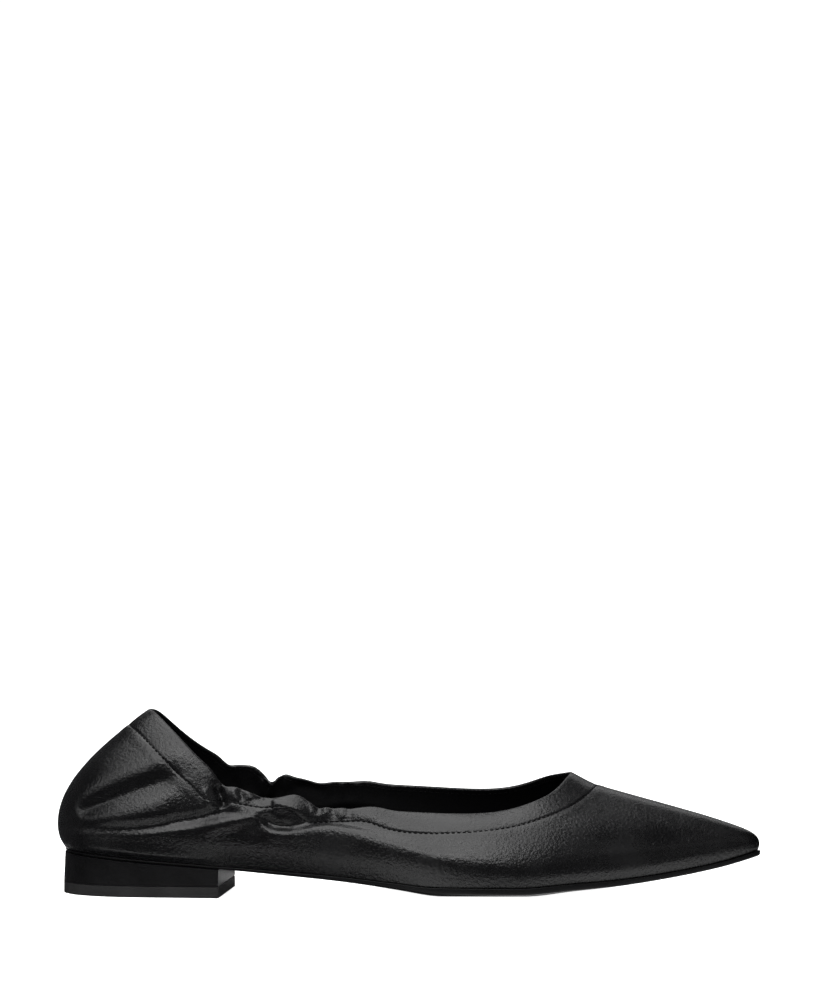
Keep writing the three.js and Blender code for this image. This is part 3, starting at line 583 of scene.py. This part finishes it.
def close_up(piece, smooth_angle):
    """Merges doubled points, drops faces without area, turns all faces outwards, smooths."""
    body = bmesh.new()
    body.from_mesh(piece.data)
    bmesh.ops.remove_doubles(body, verts=body.verts, dist=MERGE_WITHIN)
    bmesh.ops.dissolve_degenerate(body, edges=body.edges, dist=NO_LENGTH)
    bmesh.ops.recalc_face_normals(body, faces=body.faces)
    open_edges = sum(1 for edge in body.edges if not edge.is_manifold)
    body.to_mesh(piece.data)
    body.free()
    piece.data.polygons.foreach_set("use_smooth", np.ones(len(piece.data.polygons), bool))
    piece.data.set_sharp_from_angle(angle=math.radians(smooth_angle))
    print(piece.name, len(piece.data.polygons), "faces,", open_edges, "open edges")
    return piece


print("pieces are moved by", -MIDDLE[:2], "mm")

# %% [markdown]
# ## The upper, with its hem band
# The leather is turned in over the elastic and stitched down 10.5 mm below the rim. The stitches
# draw a narrow groove, and the leather swells on both sides of it. This is an offset along the
# normal that depends on the distance from the rim alone, so it follows the rim all the way round.

# %% Profile of the hem
SEAM_DEPTH, SEAM_REACH = 0.22, 0.45
BAND_PUFF, PUFF_LEAN, PUFF_POWER = 0.25, 0.8, 0.6
WALL_PUFF, PUFF_UNDER, PUFF_REACH = 0.12, 2.4, 1.8
RIM = (UPPER_WALL + BAND_PUFF) / 2


def hem_profile(distance):
    """Swelling of the band as a sine, a bell-shaped groove at the seam, a soft swelling under it."""
    across = np.clip(distance / BAND_WIDTH, 0, 1)
    puff = BAND_PUFF * np.sin(np.pi * across ** PUFF_LEAN) ** PUFF_POWER
    groove = SEAM_DEPTH * np.exp(-((distance - BAND_WIDTH) / SEAM_REACH) ** 2)
    swell = WALL_PUFF * np.exp(-((distance - BAND_WIDTH - PUFF_UNDER) / PUFF_REACH) ** 2)
    return puff - groove + swell


def rim_round(distance):
    """A quarter circle's drop near the rim."""
    off = np.clip(1 - distance / RIM, 0, 1)
    return RIM * (1 - np.sqrt(np.maximum(0, 1 - off ** 2)))


# Leather that is lasted under bulges over the feather edge, low at the toe and higher at the heel.
ROLL_ROWS = [0.3, 0.32, 0.3, 0.25, 0.36, 0.58, 0.62, 0.56, 0.3, 0.25, 0.25]
ROLL_OUT, SPREAD_BELOW, SPREAD_ABOVE = 0.1, 0.65, 7.0
roll_height = closed_curve(np.array(ROLL_ROWS + ROLL_ROWS[-2:0:-1]) * SHOULDER)


def roll_under(height, crest):
    """A bell that is narrower below its crest."""
    spread = np.where(height < crest, SPREAD_BELOW * crest, SPREAD_ABOVE)
    return ROLL_OUT * crest * np.exp(-((height - crest) / spread) ** 2)


print("crest of the roll at toe and back, mm:", np.round(roll_height(np.array([0, 0.5])), 1))

# %% [markdown]
# ## Rings of the upper
# The mesh is one closed skin: up the outside, round the rim and down the inside. Rings are close
# together where the form turns fast, at the seam and the rim.

# %% Distances and places of the rings
OUTER_ROWS = [  # first and last distance from the rim, mm, and the number of rings
    (BAND_WIDTH + 6, BAND_WIDTH + 1.6, 8),
    (BAND_WIDTH + 1.2, BAND_WIDTH - 1.2, 13),
    (BAND_WIDTH - 1.8, 1.4, 12),
]
INNER_ROWS = [1.6, 2.4, 3.2, 4.5, 6.5, 8.5, BAND_WIDTH]
LOW_RINGS, CURL_RINGS, LINING_RINGS, SWELL_POWER = 58, 6, 18, 6
outer = np.concatenate([np.linspace(*row) for row in OUTER_ROWS])
curl = RIM * (1 - np.sin(np.linspace(0, np.pi / 2, CURL_RINGS)))
out_rows = np.concatenate([outer, curl])
in_rows = np.concatenate([curl[-2::-1], INNER_ROWS])
low_steps = np.linspace(0, 1, LOW_RINGS, endpoint=False)
top_place = np.stack([place_at(bunched(d)) for d in out_rows])
low_place = low_steps[:, None] * top_place[:1]
lining_place = np.linspace(1, 0, LINING_RINGS)[1:, None] * band_foot[None]
in_place = np.concatenate([np.stack([place_at(bunched(d)) for d in in_rows]), lining_place])
place = np.concatenate([low_place, top_place, in_place])
rim_row = len(low_place) + len(out_rows) - 1
low_offset = hem_profile(outer[:1])[0] * low_steps ** SWELL_POWER
outwards = np.concatenate([low_offset, hem_profile(out_rows) - rim_round(out_rows)])
inwards = np.concatenate([-UPPER_WALL + rim_round(in_rows), np.full(len(lining_place), -UPPER_WALL)])
offset = np.concatenate([outwards, inwards])[:, None] * np.ones(len(shares))
print(len(place), "rings, the rim is number", rim_row)

# %% [markdown]
# ## The upper as a mesh
# The surface's map runs round the rim one way and down from it the other way. The inner rings are
# the lining, so they get the second material of the piece.

# %% Upper
LINED_AFTER = 6  # rings past the rim before the lining begins
rung = (1 - place) * (RUNGS - 1)
below, column = np.minimum(rung.astype(int), RUNGS - 2), np.arange(len(shares))
far = reach[below, column] + (rung - below) * (reach[below + 1, column] - reach[below, column])
offset[:rim_row] += roll_under((reach[-1] - far)[:rim_row], roll_height(shares))
upper_grid, upper_normal = skin(shares, place, offset, band_foot)
upper_grid[-1, :, 2] = upper_grid[0, :, 2]
rim_steps = np.linalg.norm(np.diff(upper_grid[rim_row], axis=0), axis=-1)
rim_run = np.concatenate([[0], np.cumsum(rim_steps)])
from_rim = far + BAND_WIDTH - band_run
from_rim[len(low_place):rim_row + 1] = out_rows[:, None]
upper_uv = np.stack([np.broadcast_to(rim_run, place.shape), from_rim], -1)
upper = grid_piece("upper_leather", upper_grid.transpose(1, 0, 2), uv=upper_uv.transpose(1, 0, 2))
lined = np.tile(np.arange(len(place)) > rim_row + LINED_AFTER, len(shares))
upper.data.polygons.foreach_set("material_index", lined.astype(int))
close_up(upper, 70)
print("rim", round(rim_run[-1]), "mm round")

# %% [markdown]
# ## Thread
# The hem is stitched with a fine thread, and a second seam inside the collar holds the lining. Each
# stitch is a tiny bent rod whose ends dive into the leather, and all of them are laid at once.

# %% Stitches
ROD_RINGS, ROD_SIDES = 7, 6
SUNK, STITCH_PITCH = 0.6, 2.1
INNER_SEAM = 2.4  # distance from the rim


def stitches(name, path, normal, length, radius, height):
    """Rods along a path: a ring's centre is the path's point lifted by the root of a half sine, and
    its points stand round it in the plane of the normal and the sideways direction."""
    closed = np.concatenate([path, path[:1]])
    lift = np.concatenate([normal, normal[:1]])
    run = np.concatenate([[0], np.cumsum(np.linalg.norm(np.diff(closed, axis=0), axis=-1))])
    count = int(round(run[-1] / STITCH_PITCH))
    centres = (np.arange(count) + 0.5) * run[-1] / count
    rings = np.linspace(-1, 1, ROD_RINGS)
    at = (centres[:, None] + rings * length / 2) % run[-1]
    where = np.stack([np.interp(at, run, closed[:, k]) for k in range(3)], -1)
    up = unit(np.stack([np.interp(at, run, lift[:, k]) for k in range(3)], -1))
    sideways = unit(np.cross(unit(np.gradient(where, axis=1)), up))
    where = where + up * (height * np.cos(rings * np.pi / 2) ** 0.5 - radius * SUNK)[None, :, None]
    angle = np.linspace(0, 2 * np.pi, ROD_SIDES, endpoint=False)
    girth = radius * np.sqrt(np.maximum(0, 1 - rings ** 8))[None, :, None, None]
    ring = np.cos(angle)[:, None] * sideways[:, :, None] + np.sin(angle)[:, None] * up[:, :, None]
    points = where[:, :, None] + girth * ring
    index = np.arange(points[..., 0].size).reshape(points.shape[:3])
    here, there = index[:, :-1], index[:, 1:]
    quads = np.stack([here, there, np.roll(there, -1, 2), np.roll(here, -1, 2)], -1).reshape(-1, 4)
    print(count, "stitches")
    return close_up(new_piece(name, points, quads), 80)


seam_row = len(low_place) + int(np.argmin(np.abs(out_rows - BAND_WIDTH)))
inner_row = len(low_place) + len(out_rows) + int(np.argmin(np.abs(in_rows - INNER_SEAM)))
seam_thread = stitches("seam_thread", upper_grid[seam_row], upper_normal[seam_row], 1.6, 0.22, 0.18)
edge_thread = stitches("edge_thread", upper_grid[inner_row], -upper_normal[inner_row], 1.65, 0.2, 0.14)

# %% [markdown]
# ## Sole and heel
# The insole, the outsole, the heel block and its top piece are slabs: at each share of the outline
# a section runs over the under face, round the edge and back over the upper face. Rounding comes
# from extra levels at the edge, each a little further out and higher.

# %% Slabs
ACROSS = np.array([-1, -0.88, -0.75, -0.62, -0.5, -0.4, -0.3, -0.22, -TREAD_SHARE,
                   TREAD_SHARE, 0.22, 0.3, 0.4, 0.5, 0.62, 0.75, 0.88, 1])


def lifted(height, lift):
    """The same height over x and across, lifted by a fixed distance."""
    return lambda x, across: height(x, across) + lift


def flat(height):
    """A flat face at one height."""
    return lambda x, across: height + 0 * x


def slab(name, share, under, edges, upper_face, square_to=None):
    """Sections of a slab: each level has a tuck from the outline and a height over x and across."""
    def at(level, across):
        tuck, height = level
        lateral = outline(share, tuck + 0 * share)[0]
        medial = outline(1 - share, tuck + 0 * share)[0]
        tip = np.linalg.norm(lateral - medial, axis=-1) < CLEARANCE
        middle = (across + 1) / 2
        point = lateral * (1 - middle) + medial * middle
        x = point[:, 0]
        if square_to is not None:
            x = np.where(np.arange(len(share)) == 0, square_to, x)
        y = np.where(tip, 0, point[:, 1])
        return np.stack([x, y, height(x, np.where(tip, 1, across))], -1)

    half = len(edges) // 2
    loop = [at(level, -1) for level in edges[half::-1]]
    loop += [at(under, across) for across in ACROSS]
    loop += [at(level, 1) for level in edges]
    loop += [at(upper_face, across) for across in ACROSS[::-1]]
    loop += [at(level, -1) for level in edges[:half:-1]]
    return close_up(grid_piece(name, np.stack(loop, 1), ring=False), 40)


def round_edge(tuck, low, high, under_round, upper_round, steps=4):
    """Levels up an edge: a quarter circle at the foot and one at the top, both of their radius."""
    turn = np.linspace(0, np.pi / 2, steps + 1)
    foot = [(tuck + under_round * (1 - math.sin(a)), lifted(low, under_round * (1 - math.cos(a))))
            for a in turn[1:]]
    top = [(tuck + upper_round * (1 - math.cos(a)), lifted(high, upper_round * (math.sin(a) - 1)))
           for a in turn[:-1]]
    return foot + top


print(len(ACROSS), "points across each face")

# %% [markdown]
# ## Outsole and insole
# The outsole is cut from sole leather, with its lower edge rounded off. The insole is a thin board
# covered with leather. Both follow the faces of the sole.

# %% Outsole and insole
SOLE_SECTIONS = 221
SOLE_ROUND, SEAT_ROUND, BOARD_ROUND = 0.7, 0.25, 0.3
sole_shares = 0.5 * (1 - np.cos(np.linspace(0, np.pi, SOLE_SECTIONS))) / 2
draw_in = sole_tuck(outline(sole_shares, 0 * sole_shares)[0][:, 0])
edges = round_edge(draw_in, sole_under, sole_upper, SOLE_ROUND, SEAT_ROUND)
sole_faces = (draw_in + SOLE_ROUND, sole_under), edges, (draw_in + SEAT_ROUND, sole_upper)
outsole = slab("outsole_leather", sole_shares, *sole_faces)

board_tuck = FEATHER_TUCK + UPPER_WALL + INSOLE_ROOM
board_low = lifted(sole_upper, CLEARANCE)
board_high = lifted(sole_upper, CLEARANCE + INSOLE_THICKNESS)
edges = round_edge(board_tuck, board_low, board_high, BOARD_ROUND, INSOLE_ROLL)
board_faces = (board_tuck + BOARD_ROUND, board_low), edges, (board_tuck + INSOLE_ROLL, board_high)
insole = slab("insole_leather", sole_shares, *board_faces)

# %% [markdown]
# ## Heel
# A low block heel has a leather cover pulled round it and a top piece of hard rubber nailed under
# it. Its front, the breast, is cut straight. A Bevel modifier softens the edges, as the cover does.

# %% Heel
HEEL_SECTIONS = 90
BEVEL_SEGMENTS, BEVEL_ANGLE = 3, math.radians(40)
breast_share = math.acos(2 * HEEL_LENGTH / SOLE_LENGTH - 1) / (2 * math.pi)
heel_turn = np.sin(np.linspace(0, np.pi / 2, HEEL_SECTIONS))
heel_shares = breast_share + (0.5 - breast_share) * heel_turn
foot_tuck = HEEL_TUCK - HEEL_FLARE


def heel_piece(name, foot, high, top_tuck, bevel):
    """A layer of the heel with a straight breast, its side drawn in evenly towards the top."""
    low = flat(foot)
    edges = [(foot_tuck, low), (top_tuck, high)]
    piece = slab(name, heel_shares, (foot_tuck, low), edges, (top_tuck, high), square_to=HEEL_LENGTH)
    rounding = piece.modifiers.new("round", "BEVEL")
    rounding.width, rounding.segments = bevel, BEVEL_SEGMENTS
    rounding.limit_method, rounding.angle_limit = "ANGLE", BEVEL_ANGLE
    return piece


block_foot, block_high = TOP_PIECE_THICKNESS + CLEARANCE, lifted(sole_under, -CLEARANCE)
heel_block = heel_piece("heel_cover", block_foot, block_high, HEEL_TUCK, 0.5 * MM)
top_piece = heel_piece("top_piece", 0.0, flat(TOP_PIECE_THICKNESS), foot_tuck, 0.4 * MM)

# %% [markdown]
# ## Sockets as values
# A material in Blender is a net of nodes. Writing it as plain arithmetic keeps it readable, so a
# small class wraps a socket, and + - * on it add the Math nodes.


# %% Sockets as values
class Value:
    """A number that varies over the surface: an output socket in a material's node tree."""

    def __init__(self, tree, socket):
        self.tree, self.socket = tree, socket

    def math(self, operation, first, second):
        return node(self.tree, "ShaderNodeMath", {"operation": operation}, {0: first, 1: second})[0]

    def __add__(self, other): return self.math("ADD", self, other)
    def __radd__(self, other): return self.math("ADD", other, self)
    def __sub__(self, other): return self.math("SUBTRACT", self, other)
    def __rsub__(self, other): return self.math("SUBTRACT", other, self)
    def __mul__(self, other): return self.math("MULTIPLY", self, other)
    def __rmul__(self, other): return self.math("MULTIPLY", other, self)

    def at_most(self, limit): return self.math("MINIMUM", self, limit)

    def within(self, low, high):
        """0 below low, 1 above high, smooth between."""
        sockets = {"Value": self, "From Min": low, "From Max": high}
        smooth = {"interpolation_type": "SMOOTHSTEP"}
        return node(self.tree, "ShaderNodeMapRange", smooth, sockets)["Result"]


class Outputs:
    """The outputs of a node, by name or number, as values."""

    def __init__(self, tree, made):
        self.tree, self.made = tree, made

    def __getitem__(self, key):
        return Value(self.tree, self.made.outputs[key])


def node(tree, kind, settings=None, sockets=None):
    """Adds a node, sets its settings first, then fills its sockets with numbers or links."""
    made = tree.nodes.new(kind)
    for key, value in (settings or {}).items():
        setattr(made, key, value)
    for key, value in (sockets or {}).items():
        if isinstance(value, Value):
            tree.links.new(value.socket, made.inputs[key])
        else:
            made.inputs[key].default_value = value
    return Outputs(tree, made)


def finish_material(name, base, roughness, **constants):
    """A new material with its shader, and the constants set on the shader's own sockets."""
    material = bpy.data.materials.new(name)
    material.use_nodes = True
    shader = material.node_tree.nodes["Principled BSDF"]
    shader.inputs["Base Color"].default_value = (*base, 1)
    shader.inputs["Roughness"].default_value = roughness
    for key, value in constants.items():
        shader.inputs[key.replace("_", " ")].default_value = value
    material.diffuse_color = (*base, 1)
    return material, material.node_tree, shader


def feed(tree, shader, **links):
    for key, value in links.items():
        tree.links.new(value.socket, shader.inputs[key.replace("_", " ")])


def mixed(tree, amount, first, second):
    """A colour between two colours."""
    sockets = {0: amount, 6: (*first, 1), 7: (*second, 1)}
    return node(tree, "ShaderNodeMix", {"data_type": "RGBA"}, sockets)[2]


def spots(tree, position, scale, detail):
    """Soft noise between 0 and 1."""
    sockets = {"Vector": position, "Scale": scale, "Detail": detail}
    return node(tree, "ShaderNodeTexNoise", {}, sockets)[0]


def pebbles(tree, position, scale):
    """Distance to the edge between cells: dark lines round pebbles of leather grain."""
    settings = {"feature": "DISTANCE_TO_EDGE"}
    return node(tree, "ShaderNodeTexVoronoi", settings, {"Vector": position, "Scale": scale})[0]


print("a material is written as sums and products of values")

# %% [markdown]
# ## Soft black leather
# The upper is a fine full-grain leather, nearly black, with a satin sheen. Its grain is a net of
# tiny pebbles with a soft noise over it, both in a Bump node. Slow noises make the sheen uneven, as
# handling does.

# %% Leather
SLOW_SCALE, BROAD_SCALE, SOFT_SCALE = 55, 14, 0.62  # the last is a share of the grain's
PEBBLE_TOP, PEBBLE_HEIGHT, SOFT_HEIGHT, SLOW_HEIGHT = 0.28, 1.2, 2.2, 0.2
SLOW_SHEEN, BROAD_SHEEN, EDGE_TOP, EDGE_SHEEN = 0.16, 0.06, 0.2, 0.2
WEAR_FROM, WEAR_TO = 0.35, 0.8
BUMP_STRENGTH = 0.8


def soft_leather(name, base, worn, roughness, grain, depth, gloss):
    """Pebbles and soft noise as bump, slow noise as wear of the colour and of the sheen."""
    material, tree, shader = finish_material(name, base, roughness, Specular_IOR_Level=gloss)
    position = node(tree, "ShaderNodeTexCoord")["Object"]
    cells = pebbles(tree, position, grain)
    slow, broad = spots(tree, position, SLOW_SCALE, 3.0), spots(tree, position, BROAD_SCALE, 2.0)
    soft = spots(tree, position, grain * SOFT_SCALE, 1.0)
    height = cells.at_most(PEBBLE_TOP) * PEBBLE_HEIGHT + soft * SOFT_HEIGHT + slow * SLOW_HEIGHT
    sockets = {"Strength": BUMP_STRENGTH, "Distance": depth, "Height": height}
    bump = node(tree, "ShaderNodeBump", {}, sockets)[0]
    sheen = (slow - 0.5) * SLOW_SHEEN + (broad - 0.5) * BROAD_SHEEN
    rough = sheen + roughness - cells.at_most(EDGE_TOP) * EDGE_SHEEN
    colour = mixed(tree, slow.within(WEAR_FROM, WEAR_TO), base, worn)
    feed(tree, shader, Base_Color=colour, Roughness=rough, Normal=bump)
    return material


# Colour, worn colour, roughness, pebbles per metre, depth of the grain in metres, and gloss.
FINISHES = {
    "upper_leather": ((0.0014, 0.0014, 0.0016), (0.003, 0.003, 0.0033), 0.29, 1500.0, 0.0001, 0.42),
    "lining_leather": ((0.001, 0.001, 0.0012), (0.002, 0.002, 0.0022), 0.85, 1200.0, 0.00005, 0.06),
    "heel_leather": ((0.0014, 0.0014, 0.0016), (0.003, 0.003, 0.0033), 0.36, 1300.0, 0.00006, 0.22),
    "sole_leather": ((0.0015, 0.0015, 0.0017), (0.003, 0.003, 0.0033), 0.42, 700.0, 0.00004, 0.14),
    "thread": ((0.0015, 0.0015, 0.0017), (0.004, 0.004, 0.0043), 0.8, 4000.0, 0.00003, 0.05),
    "top_piece_rubber": ((0.005, 0.005, 0.0053), (0.01, 0.01, 0.0103), 0.62, 2600.0, 0.00005, 0.42),
}
finishes = {name: soft_leather(name, *row) for name, row in FINISHES.items()}
print(len(finishes), "finishes")

# %% [markdown]
# ## Dressing the solids
# Each piece replaces the solid it stands for and rides on the shoe's one body. The stitches replace
# nothing, as they lie on the upper.

# %% Place the pieces
DRESS = (  # piece, finish, slot, solids it replaces
    (upper, "upper_leather", "upper_leather", ["upper"]),
    (seam_thread, "thread", "upper_leather", []),
    (edge_thread, "thread", "upper_leather", []),
    (insole, "lining_leather", "insole_leather", ["insole"]),
    (outsole, "sole_leather", "outsole_leather", ["outsole"]),
    (heel_block, "heel_leather", "heel_leather", ["heel_block"]),
    (top_piece, "top_piece_rubber", "top_piece_rubber", ["heel_top_piece"]),
)
for piece, finish, slot, nodes in DRESS:
    piece.data.materials.append(finishes[finish])
    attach(piece, "root")
    if nodes:
        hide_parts(*nodes)
upper.data.materials.append(finishes["lining_leather"])
print("pieces:", [row[0].name for row in DRESS])

# %% [markdown]
# ## Studio floor
# Black leather has almost no colour of its own: we see the studio mirrored in it. The floor glows a
# little, so that no shadow greys it. Two glowing strips beside the shoe, seen only in the gloss,
# light the lower wall, and a black card keeps the toe dark.

# %% Floor, glowing strips and card
FLOOR_HALF, GLOW_DROP = 30, 0.001
GLOW = (  # place along the shoe, far edge and near edge of a strip, in metres
    (-0.16, 0.066, 0.043), (-0.088, 0.062, 0.044), (-0.07, 0.08, 0.057), (-0.05, 0.088, 0.06),
    (-0.035, 0.092, 0.056), (-0.015, 0.092, 0.05), (0.014, 0.057, 0.038), (0.05, 0.053, 0.02),
    (0.09, 0.058, 0.0), (0.17, 0.056, 0.0),
)
CARD_ALONG, CARD_HALF, CARD_FOOT, CARD_TOP = 0.5, 0.8, 0.01, 0.7


def stage_piece(name, points, quads, colour, gloss, glow=0.0):
    """A flat piece of the studio with a plain finish, which may glow white."""
    light = {"Emission_Color": (1, 1, 1, 1), "Emission_Strength": glow} if glow else {}
    mesh = bpy.data.meshes.new(name)
    mesh.from_pydata(points, [], quads)
    mesh.materials.append(finish_material(name, (colour,) * 3, 0.9, Specular_IOR_Level=gloss, **light)[0])
    piece = bpy.data.objects.new(name, mesh)
    bpy.context.scene.collection.objects.link(piece)
    piece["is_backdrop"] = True
    return piece


def strip(side, first):
    """Corners and quads of the strip on one side, facing up, numbered from first."""
    corners = [(x, side * edge, -GLOW_DROP) for x, *edges in GLOW for edge in edges]
    starts = range(first, first + len(corners) - 2, 2)
    quads = [(a, a + 2, a + 3, a + 1) for a in starts]
    return corners, quads if side < 0 else [quad[::-1] for quad in quads]


ground = [(x * FLOOR_HALF, y * FLOOR_HALF, 0) for x, y in ((-1, -1), (1, -1), (1, 1), (-1, 1))]
floor = stage_piece("floor", ground, [(0, 1, 2, 3)], 0.86, 0.1, 0.85)
floor.visible_glossy = floor.visible_shadow = False
near, near_quads = strip(-1, 0)
far_side, far_quads = strip(1, len(near))
strips = stage_piece("glow_strips", near + far_side, near_quads + far_quads, 0.5, 0.0, 0.75)
ends = ((-CARD_HALF, CARD_FOOT), (CARD_HALF, CARD_FOOT), (CARD_HALF, CARD_TOP), (-CARD_HALF, CARD_TOP))
card = stage_piece("black_card", [(CARD_ALONG, *end) for end in ends], [(0, 1, 2, 3)], 0.01, 0.0)
for piece in (strips, card):
    piece.visible_camera = piece.visible_shadow = piece.visible_diffuse = False
print("floor, card and", len(strips.data.polygons), "fields of glowing strip")

# %% [markdown]
# ## Lamps
# A softbox overhead draws the shine along the vamp and on every ridge, and a strip in front lights
# the upright folds. Small lamps pick out toe and heel, a weak panel lights the far side, and a sun
# without shadow whitens the floor.

# %% Lamps
AREA_LAMPS = (  # name, place and aim in metres, watts, width and depth in metres
    ("overhead", (-0.28, -0.275, 1.0), (-0.28, -0.275, 0), 14, 1.0, 1.45),
    ("front_strip", (-0.28, -1.25, 1.0), (-0.28, -1.25, 0), 11, 1.0, 0.5),
    ("back_panel", (-0.1, 1.4, 0.9), (0, 0, 0), 2.4, 1.4, 0.6),
    ("toe_side", (0.75, -0.5, 0.5), (0.08, 0, 0), 1.5, 0.35, 0.35),
    ("heel_side", (-0.85, -0.5, 0.5), (-0.1, 0, 0), 0.9, 0.35, 0.35),
)
SUN_HEIGHT, SUN_STRENGTH, SUN_ANGLE = 3, 2.0, math.radians(150)


def lamp(kind, name, place, aim, power, **settings):
    light = bpy.data.lights.new(name, kind)
    light.energy = power
    for key, value in settings.items():
        setattr(light, key, value)
    made = bpy.data.objects.new(name, light)
    bpy.context.scene.collection.objects.link(made)
    made.location = place
    made.rotation_euler = (Vector(aim) - Vector(place)).to_track_quat("-Z", "Y").to_euler()
    return made


for name, stand, aim, watts, width, depth in AREA_LAMPS:
    lamp("AREA", name, stand, aim, watts, shape="RECTANGLE", size=width, size_y=depth)
sun_place = (0, 0, SUN_HEIGHT)
sun = lamp("SUN", "floor_light", sun_place, (0, 0, 0), SUN_STRENGTH, angle=SUN_ANGLE, use_shadow=False)
sun.visible_glossy = False
print(len(AREA_LAMPS), "area lamps and a sun")

# %% [markdown]
# ## Backdrop
# The camera sees a white room, and the leather sees a nearly dark one. The path of the light tells
# the two apart, so one world gives both.

# %% World
DARK_ROOM, WHITE_ROOM = (0.05, 0.05, 0.052), (1.05, 1.05, 1.05)
world = bpy.data.worlds.new("studio")
bpy.context.scene.world = world
world.use_nodes = True
tree = world.node_tree
seen = node(tree, "ShaderNodeLightPath")["Is Camera Ray"]
shade = mixed(tree, seen, DARK_ROOM, WHITE_ROOM)
tree.links.new(shade.socket, tree.nodes["Background"].inputs["Color"])
bpy.context.scene.view_settings.view_transform = "Standard"
print("white room:", WHITE_ROOM, "dark room:", DARK_ROOM)

# %% [markdown]
# ## Camera
# The photograph was taken from the side and a little towards the toe, level, from 1.56 m away with
# a long lens, so the camera stands 153 mm over the floor and looks straight ahead.

# %% Camera
AZIMUTH, DISTANCE, EYE_HEIGHT = math.radians(5.0), 1560.0, 153.06
LOOKED_AT, FOCAL_PIXELS, PICTURE_HEIGHT, SENSOR = 136.0, 4009.0, 1000, 36.0
view = bpy.data.cameras.new("view")
view.sensor_width, view.lens = SENSOR, FOCAL_PIXELS * SENSOR / PICTURE_HEIGHT
view.clip_start, view.clip_end = 0.05, 100
camera = bpy.data.objects.new("view", view)
bpy.context.scene.collection.objects.link(camera)
aside, back = DISTANCE * math.sin(AZIMUTH), DISTANCE * math.cos(AZIMUTH)
camera.location = (np.array([LOOKED_AT + aside, -back, EYE_HEIGHT]) - MIDDLE) * MM
camera.rotation_euler = (math.pi / 2, 0, AZIMUTH)
bpy.context.scene.camera = camera
print("camera at", np.round(camera.location, 3))

# %% [markdown]
# ## The finished shoe
# The dressed shoe's box should differ from the solids' box by no more than a little.

# %% Sizes before and after, and the end
dressed_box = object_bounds()
growth = [[round((b - a) / MM, 2) for a, b in zip(*pair)] for pair in zip(solid_box, dressed_box)]
print("box grows by", growth, "mm")
